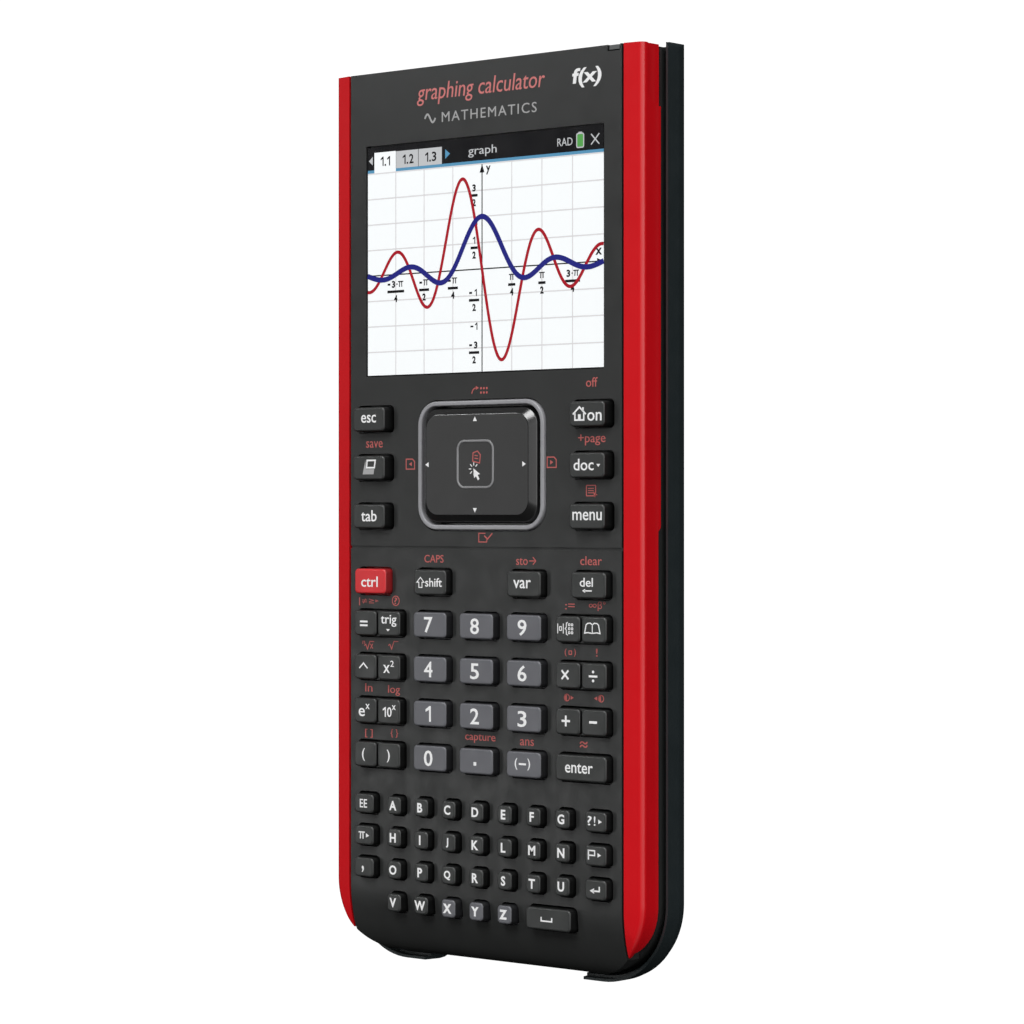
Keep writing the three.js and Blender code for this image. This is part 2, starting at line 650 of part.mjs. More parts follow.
function batteryDoorScrew() {
  const head = disc(0, SCREW_Y, 1.6, REAR_FLOOR_Z[0] + 0.2, REAR_FLOOR_Z[1] + 0.2, 16);
  const shank = disc(0, SCREW_Y, 0.8, REAR_FLOOR_Z[1], 7.2, 12);
  const slotTool = block(-1.1, 1.1, SCREW_Y - 0.25, SCREW_Y + 0.25, 0, REAR_FLOOR_Z[0] + 0.8);
  return cut(join(head, shank), slotTool);
}

function usbSocket() {
  const shell = block(-USB.w / 2, USB.w / 2, REAR_TOP - 0.8 - USB.l, REAR_TOP - 0.8, ...USB.z);
  const mouth = block(-3.4, 3.4, REAR_TOP - 0.8 - USB.l + 1, 120, USB.z[0] + 0.5, USB.z[1] - 0.5);
  const tongue = block(-2.4, 2.4, REAR_TOP - 0.8 - USB.l + 0.5, REAR_TOP - 2, 6.0, 6.6);
  return join(cut(shell, mouth), tongue);
}

function dockConnector() {
  const end = REAR_BOTTOM + 0.8;
  const housing = block(-DOCK.w / 2, DOCK.w / 2, end, end + DOCK.l, ...DOCK.z);
  const slots = [-1, 1].map((side) =>
    block(side * 6 - 4.5, side * 6 + 4.5, -120, end + 3, DOCK.z[0] + 0.8, DOCK.z[1] - 0.8),
  );
  return cut(housing, ...slots);
}

function statusLightPipe() {
  return block(LIGHT.x - LIGHT.w / 2, LIGHT.x + LIGHT.w / 2, BODY_TOP - LIGHT.l, BODY_TOP - 0.1, ...LIGHT.z);
}

// ---------------------------------------------------------------- assembly

addPiece("front_case", frontCase(), BLACK);
addPiece("right_side_trim", sideTrim(), RED);
addPiece("left_side_trim", sideTrim(), RED).scale.x = -1;
addPiece("rear_case", rearCase(), BLACK);
addPiece("slide_cover", slideCover(), COVER_BLACK);
addPiece("display_window", displayWindow(), GLASS);
addPiece("lcd_panel", lcdPanel(), SCREEN_WHITE);
addPiece("backlight_frame", backlightFrame(), STEEL);
addPiece("main_circuit_board", mainCircuitBoard(), BOARD_GREEN);
addPiece("dome_sheet", domeSheet(), RUBBER);
addPiece("touchpad_ring", touchpadRing(), RING_GREY);
addPiece("touchpad", touchpad(), KEY_BLACK);
addPiece("battery_pack", batteryPack(), BATTERY_GREY);
addPiece("battery_door", batteryDoor(), BLACK);
addPiece("battery_door_screw", batteryDoorScrew(), STEEL);
addPiece("usb_socket", usbSocket(), STEEL);
addPiece("dock_connector", dockConnector(), BLACK);
addPiece("status_light_pipe", statusLightPipe(), CLEAR);
singleKeys.forEach((key) => addPiece(key.name, singleKey(key), key.look));
doubleKeys.forEach((key) => addPiece(key.name, doubleKey(key), key.look));
letterRows.forEach((row) => addPiece(row.name, letterRow(row), KEY_BLACK));

// The part's origin is the middle of the face that it lies on.
calculator.position.y = -(COVER_BOTTOM + COVER_TOP) / 2;

export default calculator;
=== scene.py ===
"""A handheld graphing calculator lying on its back, with its hard slide cover stored on the back.

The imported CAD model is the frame. This script gives every piece its finished surface, prints the keys and
the face, and draws the graph on the screen. Sizes are in millimetres; meshes are scaled to metres when a
piece is made.
"""
import math

import bmesh
import bpy
from mathutils import Matrix, Vector


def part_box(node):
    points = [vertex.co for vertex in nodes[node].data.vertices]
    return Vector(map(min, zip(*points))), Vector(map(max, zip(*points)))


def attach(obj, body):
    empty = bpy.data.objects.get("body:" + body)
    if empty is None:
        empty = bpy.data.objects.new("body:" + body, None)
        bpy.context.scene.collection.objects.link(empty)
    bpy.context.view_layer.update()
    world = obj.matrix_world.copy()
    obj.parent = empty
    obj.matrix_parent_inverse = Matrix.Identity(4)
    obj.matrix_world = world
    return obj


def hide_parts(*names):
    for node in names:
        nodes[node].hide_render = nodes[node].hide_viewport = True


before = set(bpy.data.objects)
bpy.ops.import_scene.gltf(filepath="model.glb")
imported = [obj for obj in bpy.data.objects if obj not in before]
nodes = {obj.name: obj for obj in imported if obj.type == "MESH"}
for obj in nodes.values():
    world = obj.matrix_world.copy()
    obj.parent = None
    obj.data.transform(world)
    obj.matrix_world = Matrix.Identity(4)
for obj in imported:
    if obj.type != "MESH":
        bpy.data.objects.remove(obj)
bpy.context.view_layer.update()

MM = 0.001
ROOT = "calculator_body"


# ---------------------------------------------------------------- places taken from the frame


class Box:
    """A CAD node's box at rest, in millimetres."""

    def __init__(self, node):
        low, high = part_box(node)
        self.low = low / MM
        self.high = high / MM
        self.middle = (self.low + self.high) / 2
        self.size = self.high - self.low

    @property
    def center(self):
        return (self.middle.x, self.middle.y)


CASE = Box("front_case")
REAR = Box("rear_case")
WINDOW = Box("display_window")
RING = Box("touchpad_ring")
PAD = Box("touchpad")
LIGHT = Box("status_light_pipe")
TRIM = Box("right_side_trim")

FACE_Z = CASE.high.z

# Sizes that the boxes don't give, as the CAD model has them.
GAP = 0.3  # clearance between neighbouring pieces
FACE_HALF_W = 37.2
FACE_WALL = 1.6
SKIRT_WALL = 1.4
BOTTOM_CORNER = 15
TOP_CORNER = 1.2
ROLL_LENGTH = 14.5  # the face's lower end rolls back over this length
ROLL_DROP = 5.8
BEZEL = 0.6  # thickness of the face over the window's edge
SEAM_FROM_TOP = 100.9  # groove across the face
SEAM_WIDTH = 0.6
SEAM_DEPTH = 0.4
SEAM_REACH = 50  # past the face on both sides
TRIM_GAP = 0.5
TRIM_WALL = 1.6
TRIM_BASE_HIGH = 9.43  # lower edge of the trims in the lower half of the body
TRIM_STEP_FROM_TOP = 97.35
FACET_TILT = 0.16  # slope of the trims' front facet, in radians
RIDGE_ROUND = 1.3
NOTCH_LENGTH = 12.4  # thumb notch at the trims' screen end
NOTCH_RAMP = 2.4
WINDOW_BORDER = (2.2, 1.8)
WINDOW_PLAY = 0.4
KEY_DRAFT = 0.15
KEY_FLANGE = 0.6
NAVIGATION_PLAY = 0.4
FLANGE_Z = FACE_Z - 3
FLANGE_THICKNESS = 0.75
ROCKER_THICKNESS = 0.7
PLUNGER_HALF = 0.9
LETTER_PLAY = 0.3
LETTER_WIDTH = 3.8
RING_FLANGE = 1.0
RING_WIDTH = 1.0
PAD_CORNER = 5

# Sizes set by comparing renders with the photo; the CAD model is coarser or lacks them.
CASE_EDGE = 0.22
TRIM_EDGE = 0.25
NOTCH_TOP_Z = 12.8
NOTCH_DEPTH = 0.5
TIP_LENGTH = 5.5  # rounding of the trims' lower tips
TIP_HEIGHT = 3.2
KEY_CORNER = 0.9
KEY_FILLET = 0.42
SPLIT_WIDTH = 0.42  # the line between the two caps of a double key
SPLIT_DEPTH = 0.8
PAD_RISE = 0.95  # how much higher the pad stands than in the CAD model
PAD_BEVEL = 2.0
PAD_SHOULDER_Z = 14.3
PAD_RAMP = 0.92
PAD_LEAN = 0.12
PAD_EXTRA_LENGTH = 0.6
PAD_CORNER_LOSS = 0.35
SCREW_SPOTS = [(-34, 78), (34, 78), (-34, 0), (34, 0), (-30, -78), (30, -78)]
SCREW_HEAD = 1.9
INK = 0.03

# Farther from the middle, and higher, than anything in the body: how far cutters reach.
BEYOND_X = 60
BEYOND_Y = 120
BEYOND_Z = 20

SCREEN_SIZE = (WINDOW.size.x - 2 * WINDOW_BORDER[0], WINDOW.size.y - 2 * WINDOW_BORDER[1])
RING_PLAN = (RING.size.x - 2 * RING_FLANGE, RING.size.y - 2 * RING_FLANGE)


# ---------------------------------------------------------------- shader nodes


def feed(tree, target, inputs):
    """Sets a node's inputs, each to a plain value or linked to another node's output."""
    for name, value in inputs.items():
        if isinstance(value, bpy.types.NodeSocket):
            tree.links.new(value, target.inputs[name])
        else:
            target.inputs[name].default_value = value


def node(tree, kind, inputs=(), **settings):
    """A new shader node of the given kind, with its settings and inputs."""
    made = tree.nodes.new("ShaderNode" + kind)
    for name, value in settings.items():
        setattr(made, name, value)
    feed(tree, made, dict(inputs))
    return made


def ramp(tree, source, start, end, low=0, high=1):
    """Maps start to end onto low to high, and holds what lies beyond at low or high."""
    sizes = {"Value": source, "From Min": start, "From Max": end, "To Min": low, "To Max": high}
    return node(tree, "MapRange", sizes).outputs["Result"]


def times(tree, first, second):
    return node(tree, "Math", {0: first, 1: second}, operation="MULTIPLY").outputs["Value"]


# ---------------------------------------------------------------- camera, floor and light

CAMERA_SPOT = Vector((0.4364, 0.0006, 0.51265))
CAMERA_TILT = math.radians(40.7)
CAMERA_LENS = 112.5
WHITE = (1, 1, 1, 1)
DIM_STUDIO = 0.14
RIGHT_WALL = 2.55
NEAR_SHADE = 0.2
FLOOR_SIZE = 4000
# Direction from the calculator, distance and size in metres, and power in watts.
SOFTBOXES = {
    "softbox_screen_end": ((0.03, 0.7, 0.71), 2.5, 1.15, 38),
    "spot_left": ((-0.65, 0.38, 0.65), 1.1, 0.12, 1.0),
    "panel_left": ((-0.65, -0.11, 0.75), 1.2, 0.25, 0.42),
}


def make_camera():
    """Looks at the face from the right, with the calculator's screen end up in the picture."""
    camera = bpy.data.objects.new("camera", bpy.data.cameras.new("camera"))
    bpy.context.collection.objects.link(camera)
    back = Vector((math.sin(CAMERA_TILT), 0, math.cos(CAMERA_TILT)))
    up = Vector((0, 1, 0))
    right = up.cross(back)
    camera.matrix_world = Matrix.Translation(CAMERA_SPOT) @ Matrix((right, up, back)).transposed().to_4x4()
    camera.data.lens = CAMERA_LENS
    camera.data.sensor_width = 36
    camera.data.clip_start = 0.01
    bpy.context.scene.camera = camera


def make_lights():
    """One strong softbox over the screen end and two small ones on the left, all aimed at the calculator."""
    for name, (direction, distance, size, power) in SOFTBOXES.items():
        light = bpy.data.objects.new(name, bpy.data.lights.new(name, "AREA"))
        bpy.context.collection.objects.link(light)
        light.data.shape = "RECTANGLE"
        light.data.size = light.data.size_y = size
        light.data.energy = power
        light.location = Vector(direction).normalized() * distance
        light.rotation_euler = (-light.location).to_track_quat("-Z", "Y").to_euler()


def make_studio():
    """A dim studio, paler on the right and darker at the near end, with plain white behind the picture."""
    world = bpy.data.worlds.new("studio")
    bpy.context.scene.world = world
    world.use_nodes = True
    tree = world.node_tree
    place = node(tree, "TexCoord")
    parts = node(tree, "SeparateXYZ", {"Vector": place.outputs["Generated"]})
    wall = ramp(tree, parts.outputs["X"], 0.14, 0.95, DIM_STUDIO, RIGHT_WALL)
    near = ramp(tree, parts.outputs["Y"], -0.2, 0.08, NEAR_SHADE)
    above = ramp(tree, parts.outputs["Z"], -0.05, 0.02)
    strength = times(tree, times(tree, wall, near), above)
    background = tree.nodes["Background"]
    feed(tree, background, {"Color": WHITE, "Strength": strength})
    seen = node(tree, "Background", {"Color": WHITE, "Strength": 1.0})
    in_picture = node(tree, "LightPath").outputs["Is Camera Ray"]
    mix = node(tree, "MixShader", {"Fac": in_picture, 1: background.outputs[0], 2: seen.outputs[0]})
    feed(tree, tree.nodes["World Output"], {"Surface": mix.outputs[0]})
    bpy.context.scene.view_settings.view_transform = "Standard"


# ---------------------------------------------------------------- materials


def shader(name):
    """A new material and its node tree and principled shader. It takes the name of the frame's plain one."""
    plain = bpy.data.materials.get(name)
    if plain:
        plain.name = "plain_" + name
    made = bpy.data.materials.new(name)
    made.use_nodes = True
    return made, made.node_tree, made.node_tree.nodes["Principled BSDF"]


def noise(tree, size, detail=2.0, stretch=(1, 1, 1)):
    """Noise whose features are about size millimetres across."""
    place = node(tree, "TexCoord").outputs["Object"]
    mapping = node(tree, "Mapping", {"Vector": place, "Scale": stretch}).outputs["Vector"]
    sizes = {"Vector": mapping, "Scale": 1 / (size * MM), "Detail": detail}
    return node(tree, "TexNoise", sizes).outputs["Fac"]


def spread(tree, source, low, high):
    """Maps noise, which stays near one half, onto low to high."""
    return ramp(tree, source, 0.3, 0.7, low, high)


def blend_colors(tree, source, first, second):
    colors = {"Factor": source, "A": (*first, 1), "B": (*second, 1)}
    return node(tree, "Mix", colors, data_type="RGBA").outputs["Result"]


def bump(tree, bsdf, source, depth):
    grain = node(tree, "Bump", {"Distance": depth * MM, "Strength": 1.0, "Height": source})
    feed(tree, bsdf, {"Normal": grain.outputs["Normal"]})


def tinted(color, share):
    return tuple(min(1.0, c * share) for c in color)


def darker_walls(tree, color_out, wall):
    """Painted shade: darkens upright faces to the given share of their colour, as if they lay in shade."""
    normal = node(tree, "NewGeometry").outputs["Normal"]
    upright = node(tree, "SeparateXYZ", {"Vector": normal}).outputs["Z"]
    share = ramp(tree, upright, 0.3, 0.75, wall)
    scaled = node(tree, "VectorMath", {"Vector": color_out, "Scale": share}, operation="SCALE")
    return scaled.outputs["Vector"]


def moulded(name, color, roughness, grain=0.35, depth=0.004, tone=0.1, uneven=0.06, wall=1.0, ior=1.5):
    """Moulded plastic: a fine grain from the mould, with slow changes of tone and gloss. A wall share below
    one paints shade on upright faces.
    """
    made, tree, bsdf = shader(name)
    slow = spread(tree, noise(tree, 9, detail=3), 0, 1)
    color_out = blend_colors(tree, slow, tinted(color, 1 - tone), tinted(color, 1 + tone))
    # Painted shade on upright faces: they keep only the share wall of their colour.
    if wall < 1:
        color_out = darker_walls(tree, color_out, wall)
    gloss = spread(tree, noise(tree, 4, detail=4), roughness - uneven, roughness + uneven)
    feed(tree, bsdf, {"Base Color": color_out, "Roughness": gloss, "IOR": ior})
    bump(tree, bsdf, noise(tree, grain), depth)
    return made


def printed(name, color):
    """Printed ink: slightly uneven cover over the plastic's grain."""
    made, tree, bsdf = shader(name)
    cover = spread(tree, noise(tree, 0.5, detail=3), 0, 1)
    color_out = blend_colors(tree, cover, tinted(color, 0.93), color)
    feed(tree, bsdf, {"Base Color": color_out, "Roughness": spread(tree, noise(tree, 0.8), 0.5, 0.62)})
    bump(tree, bsdf, noise(tree, 0.3), 0.002)
    return made


PIXEL = 0.2
PIXEL_GAP = 0.012


def lit(name, color, glow=0.5):
    """Part of the lit screen: even light with the faint grid of the display's pixels."""
    made, tree, bsdf = shader(name)
    grid = {
        "Vector": node(tree, "TexCoord").outputs["Object"],
        "Scale": 1,
        "Brick Width": PIXEL * MM,
        "Row Height": PIXEL * MM,
        "Mortar Size": PIXEL_GAP * MM,
        "Color1": (*color, 1),
        "Color2": (*tinted(color, 0.985), 1),
        "Mortar": (*tinted(color, 0.93), 1),
    }
    pixels = node(tree, "TexBrick", grid, offset=0).outputs["Color"]
    gloss = spread(tree, noise(tree, 6), 0.16, 0.24)
    feed(tree, bsdf, {"Base Color": pixels, "Roughness": gloss})
    feed(tree, bsdf, {"Emission Color": pixels, "Emission Strength": glow})
    return made


def brushed(name, color):
    """Metal with fine brush marks along X."""
    made, tree, bsdf = shader(name)
    marks = noise(tree, 0.12, detail=3, stretch=(0.05, 1, 1))
    color_out = blend_colors(tree, spread(tree, marks, 0, 1), tinted(color, 0.85), color)
    feed(tree, bsdf, {"Base Color": color_out, "Roughness": spread(tree, marks, 0.24, 0.4), "Metallic": 1.0})
    bump(tree, bsdf, marks, 0.002)
    return made


def glass(name):
    """The window's dark border print under a hard clear coat."""
    made, tree, bsdf = shader(name)
    cover = spread(tree, noise(tree, 5), 0, 1)
    color_out = blend_colors(tree, cover, (0.004, 0.004, 0.005), (0.007, 0.007, 0.008))
    feed(tree, bsdf, {"Base Color": color_out, "Roughness": spread(tree, noise(tree, 12), 0.04, 0.09)})
    bump(tree, bsdf, noise(tree, 8), 0.001)
    return made


CASE_BLACK = moulded("case_black", (0.024, 0.025, 0.0245), 0.345, grain=0.3, depth=0.005, tone=0.05)
TRIM_RED = moulded("trim_red", (0.63, 0.006, 0.011), 0.24, grain=1.2, depth=0.001, tone=0.02, uneven=0.03)
COVER_BLACK = moulded("cover_black", (0.02, 0.027, 0.029), 0.4, grain=0.4, depth=0.005, tone=0.05)
# wall= paints shade on the upright sides of the keys and the pad, leaving that share of their colour.
KEY_BLACK = moulded("key_black", (0.035, 0.037, 0.036), 0.36, grain=0.25, depth=0.003, tone=0.05, wall=0.1)
KEY_GREY = moulded("key_grey", (0.128, 0.13, 0.143), 0.38, grain=0.25, depth=0.003, tone=0.05, wall=0.12)
KEY_RED = moulded("key_red", (0.66, 0.03, 0.036), 0.38, grain=0.25, depth=0.003, tone=0.05, wall=0.45)
PAD_BLACK = moulded("pad_black", (0.039, 0.039, 0.039), 0.42, grain=0.2, depth=0.003, tone=0.04)
PAD_GLOSS = moulded("pad_gloss", (0.01, 0.01, 0.01), 0.2, depth=0.0005, uneven=0.02, wall=0.2, ior=1.8)
PAD_RIDGE = moulded("pad_ridge", (0.24, 0.24, 0.245), 0.35, grain=0.2, depth=0.002)
RING_SILVER = moulded("ring_silver", (0.31, 0.31, 0.325), 0.3, grain=0.15, depth=0.002, tone=0.03)
LEGEND_WHITE = printed("legend_white", (0.95, 0.95, 0.95))
LEGEND_RED = printed("legend_red", (0.55, 0.125, 0.115))
LEGEND_ROSE = printed("legend_rose", (0.66, 0.2, 0.19))
LEGEND_GREY = printed("legend_grey", (0.42, 0.42, 0.42))
SCREEN_WHITE = lit("screen_white", (0.5, 0.515, 0.52), glow=1.1)
SCREEN_DARK = lit("screen_dark", (0.003, 0.003, 0.004), glow=0.3)
SCREEN_BLUE = lit("screen_blue", (0.07, 0.22, 0.36))
SCREEN_GREY = lit("screen_grey", (0.4, 0.41, 0.42))
SCREEN_LINE = lit("screen_line", (0.42, 0.415, 0.42), glow=0.9)
SCREEN_GREEN = lit("screen_green", (0.07, 0.27, 0.06))
PLOT_RED = lit("plot_red", (0.31, 0.005, 0.013), glow=0.4)
PLOT_BLUE = lit("plot_blue", (0.012, 0.014, 0.17), glow=0.35)
WINDOW_GLASS = glass("window")
STEEL = brushed("steel", (0.52, 0.53, 0.54))
BOARD_GREEN = moulded("board_green", (0.012, 0.1, 0.035), 0.4, grain=0.8, depth=0.01, tone=0.25)
SILICONE = moulded("silicone", (0.46, 0.48, 0.48), 0.6, grain=0.5, tone=0.05)
BATTERY_WRAP = moulded("battery_wrap", (0.06, 0.07, 0.08), 0.3, grain=2.5, depth=0.01)
CONNECTOR_BLACK = moulded("connector_black", (0.012, 0.012, 0.013), 0.45, grain=0.2)
LIGHT_PIPE = moulded("light_pipe", (0.12, 0.125, 0.125), 0.22, grain=0.6, depth=0.002, tone=0.03)


# ---------------------------------------------------------------- shapes, in millimetres


def rounded(center, size, radius, steps=5):
    """Outline of a rounded rectangle, counter-clockwise."""
    (cx, cy), (width, length) = center, size
    radius = max(radius, 0.02)
    points = []
    for quarter, (sx, sy) in enumerate([(1, 1), (-1, 1), (-1, -1), (1, -1)]):
        for i in range(steps + 1):
            angle = math.pi / 2 * (quarter + i / steps)
            x = cx + sx * (width / 2 - radius) + radius * math.cos(angle)
            y = cy + sy * (length / 2 - radius) + radius * math.sin(angle)
            points.append((x, y))
    return points


def stack(rings, closed=False):
    """A solid through rings of equal length, each a list of points; closed joins the last to the first."""
    made = bmesh.new()
    rows = [[made.verts.new(point) for point in ring] for ring in rings]
    pairs = list(zip(rows, rows[1:] + rows[:1])) if closed else list(zip(rows, rows[1:]))
    for lower, upper in pairs:
        for i in range(len(lower)):
            j = (i + 1) % len(lower)
            made.faces.new((lower[i], lower[j], upper[j], upper[i]))
    if not closed:
        made.faces.new(reversed(rows[0]))
        made.faces.new(rows[-1])
    return made


def rectangle(x0, x1, y0, y1):
    return [(x0, y0), (x1, y0), (x1, y1), (x0, y1)]


def level(points, z):
    return [(x, y, z) for x, y in points]


def prism(points, z0, z1):
    """A plan outline pulled up from z0 to z1."""
    return stack([level(points, z0), level(points, z1)])


def block(x0, x1, y0, y1, z0, z1):
    return prism(rectangle(x0, x1, y0, y1), z0, z1)


def along_x(points, x0, x1):
    """A Y-Z outline, counter-clockwise seen from +X, pulled along X."""
    return stack([[(x, y, z) for y, z in points] for x in (x0, x1)])


def pour(part, whole):
    """Adds a solid to another mesh, and frees it."""
    held = bpy.data.meshes.new("held")
    part.to_mesh(held)
    part.free()
    whole.from_mesh(held)
    bpy.data.meshes.remove(held)


def merge(parts):
    """Several solids as one mesh."""
    whole = bmesh.new()
    for part in parts:
        pour(part, whole)
    return whole


def as_object(name, made):
    mesh = bpy.data.meshes.new(name)
    made.to_mesh(mesh)
    made.free()
    thing = bpy.data.objects.new(name, mesh)
    bpy.context.collection.objects.link(thing)
    return thing


def settle(thing):
    """Applies the modifiers of an object."""
    bpy.context.view_layer.update()
    final = thing.evaluated_get(bpy.context.evaluated_depsgraph_get())
    mesh = bpy.data.meshes.new_from_object(final)
    thing.modifiers.clear()
    old = thing.data
    thing.data = mesh
    bpy.data.meshes.remove(old)
    return thing


def boolean(thing, tool, operation):
    """Cuts an object with a solid, or intersects them."""
    other = as_object("tool", tool)
    step = thing.modifiers.new("boolean", "BOOLEAN")
    step.operation = operation
    step.solver = "MANIFOLD"
    step.object = other
    settle(thing)
    mesh = other.data
    bpy.data.objects.remove(other)
    bpy.data.meshes.remove(mesh)
    return thing


def keep_inside(thing, *tools):
    for tool in tools:
        boolean(thing, tool, "INTERSECT")


def cut(thing, *tools):
    for tool in tools:
        boolean(thing, tool, "DIFFERENCE")


def taken_solid(thing):
    """An object's mesh as a solid; the object is removed."""
    solid = bmesh.new()
    solid.from_mesh(thing.data)
    bpy.data.objects.remove(thing)
    return solid


def flat_faces_whole(thing):
    """Joins the triangles of flat faces again, so that edges can be bevelled."""
    made = bmesh.new()
    made.from_mesh(thing.data)
    bmesh.ops.remove_doubles(made, verts=made.verts, dist=1e-4)
    bmesh.ops.dissolve_limit(made, angle_limit=math.radians(0.2), verts=made.verts, edges=made.edges)
    made.to_mesh(thing.data)
    made.free()


def fix_normals(thing):
    made = bmesh.new()
    made.from_mesh(thing.data)
    bmesh.ops.recalc_face_normals(made, faces=made.faces)
    made.to_mesh(thing.data)
    made.free()


def soft_edges(thing, width, angle, segments=2):
    """Rounds the edges that are sharper than angle."""
    step = thing.modifiers.new("edges", "BEVEL")
    step.width = width
    step.segments = segments
    step.limit_method = "ANGLE"
    step.angle_limit = math.radians(angle)


def smooth(thing, angle):
    """Smooth shading that keeps the large faces flat; edges sharper than angle stay sharp."""
    thing.data.shade_smooth()
    thing.data.set_sharp_from_angle(angle=math.radians(angle))
    step = thing.modifiers.new("normals", "WEIGHTED_NORMAL")
    step.keep_sharp = True
    step.weight = 50
    return thing


def piece(thing, material, body=ROOT, replaces=()):
    """Finishes a piece: metres, material, the body that it rides on and the nodes that it stands for."""
    thing.data.transform(Matrix.Scale(MM, 4))
    thing.data.materials.clear()
    thing.data.materials.append(material)
    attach(thing, body)
    if replaces:
        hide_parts(*replaces)
    return thing


# ---------------------------------------------------------------- lettering and line work


def glyphs(text, bold, lean, spacing):
    """A run of the built-in font as a mesh one unit high, with its box."""
    curve = bpy.data.curves.new("run", "FONT")
    curve.body = text
    curve.offset = bold
    curve.shear = lean
    curve.space_character = spacing
    curve.resolution_u = 3
    curve.extrude = 0.05
    run = bpy.data.objects.new("run", curve)
    bpy.context.collection.objects.link(run)
    bpy.context.view_layer.update()
    mesh = bpy.data.meshes.new_from_object(run.evaluated_get(bpy.context.evaluated_depsgraph_get()))
    bpy.data.objects.remove(run)
    bpy.data.curves.remove(curve)
    xs = [v.co.x for v in mesh.vertices]
    ys = [v.co.y for v in mesh.vertices]
    return mesh, (min(xs), max(xs), min(ys), max(ys))


FIGURE_WIDTH = {"1": 0.42, ".": 0.2}  # as parts of the height


class Print:
    """Marks of one colour that make one piece: lettering, lines and filled shapes on a flat surface."""

    def __init__(self, z, ink=INK):
        self.made = bmesh.new()
        self.low = z - INK / 2
        self.high = z + ink
        self.spot = (0, 0)

    def at(self, x, y):
        """Everything drawn from here on is measured from x, y."""
        self.spot = (x, y)
        return self

    def placed(self, points):
        return [(self.spot[0] + x, self.spot[1] + y) for x, y in points]

    def text(self, text, x, y, width=None, height=None, bold=0.02, lean=0.0, spacing=1.0):
        """Lettering centred on x, y, fitted to a width, a height or both."""
        mesh, (x0, x1, y0, y1) = glyphs(text, bold, lean, spacing)
        fit_y = height / (y1 - y0) if height else width / (x1 - x0)
        fit_x = width / (x1 - x0) if width else fit_y
        ((x, y),) = self.placed([(x, y)])
        for v in mesh.vertices:
            v.co.x = x + (v.co.x - (x0 + x1) / 2) * fit_x
            v.co.y = y + (v.co.y - (y0 + y1) / 2) * fit_y
            v.co.z = self.high if v.co.z > 0 else self.low
        self.made.from_mesh(mesh)
        bpy.data.meshes.remove(mesh)

    def one(self, x, y, height, width):
        """The numeral one with a flag, which the built-in font's one lacks."""
        right, top, low = x + width / 2, y + height / 2, y - height / 2
        stem = 0.15 * height
        shape = [(right - stem, low), (right, low), (right, top), (right - 0.8 * stem, top)]
        shape += [(x - width / 2, top - 0.22 * height), (x - width / 2, top - 0.38 * height)]
        self.fill(shape + [(right - stem, top - 0.24 * height)])

    def figures(self, text, x, y, height, bold=0.01):
        """Numerals side by side, centred on x, y."""
        widths = [FIGURE_WIDTH.get(figure, 0.62) * height for figure in text]
        space = 0.16 * height
        left = x - (sum(widths) + space * (len(text) - 1)) / 2
        for figure, width in zip(text, widths):
            middle = left + width / 2
            if figure == "1":
                self.one(middle, y, height, width)
            elif figure == ".":
                self.fill(rounded((middle, y - 0.41 * height), (width, width), 0.02, 1))
            else:
                self.text(figure, middle, y, width, height, bold)
            left += width + space

    def fill(self, *outlines):
        """Filled shapes, each a counter-clockwise list of points."""
        for points in outlines:
            pour(prism(self.placed(points), self.low, self.high), self.made)

    def line(self, points, width, closed=False):
        """A line of even width with mitred corners."""
        rings = []
        for (lx, ly), (rx, ry) in zip(*offset_sides(self.placed(points), width / 2, closed)):
            rings.append([(lx, ly, self.low), (rx, ry, self.low), (rx, ry, self.high), (lx, ly, self.high)])
        pour(stack(rings, closed=closed), self.made)

    def disc(self, x, y, radius, start=0, end=360):
        """A small disc, or the part of one between two angles."""
        self.fill(arc(x, y, radius, start, end, 10, whole=end - start >= 360))

    def circle(self, x, y, radius, width):
        self.line(arc(x, y, radius, 0, 360, 24, whole=True), width, closed=True)

    def build(self, name, material, body=ROOT, slot=None):
        bmesh.ops.remove_doubles(self.made, verts=self.made.verts, dist=1e-4)
        bmesh.ops.recalc_face_normals(self.made, faces=self.made.faces)
        return piece(as_object(name, self.made), material, body)


def arc(x, y, radius, start, end, steps, whole=False):
    """Points on a circle, counter-clockwise from one angle to another in degrees."""
    count = steps if whole else steps + 1
    angles = [math.radians(start + (end - start) * i / steps) for i in range(count)]
    return [(x + radius * math.cos(a), y + radius * math.sin(a)) for a in angles]


def offset_sides(points, reach, closed):
    """The two sides of a line, as far from it as reach, with mitred corners."""
    count = len(points)
    left, right = [], []
    for i, (x, y) in enumerate(points):
        before = points[i - 1] if i or closed else None
        after = points[(i + 1) % count] if i < count - 1 or closed else None
        directions = []
        if before:
            directions.append(Vector((x - before[0], y - before[1])).normalized())
        if after:
            directions.append(Vector((after[0] - x, after[1] - y)).normalized())
        normals = [Vector((-d.y, d.x)) for d in directions]
        middle = sum(normals, Vector((0, 0))).normalized()
        stretch = reach / max(0.35, middle.dot(normals[0]))
        left.append((x + middle.x * stretch, y + middle.y * stretch))
        right.append((x - middle.x * stretch, y - middle.y * stretch))
    return left, right


# ---------------------------------------------------------------- front case


def body_outline(inset):
    """The body's plan, with large corners at its lower end."""
    x1 = TRIM.high.x - inset
    y0, y1 = CASE.low.y + inset, CASE.high.y - inset
    low_r, high_r = BOTTOM_CORNER - inset, TOP_CORNER
    right = arc(x1 - low_r, y0 + low_r, low_r, -90, 0, 24)
    right += arc(x1 - high_r, y1 - high_r, high_r, 0, 90, 6)
    return right + [(-x, y) for x, y in reversed(right)]


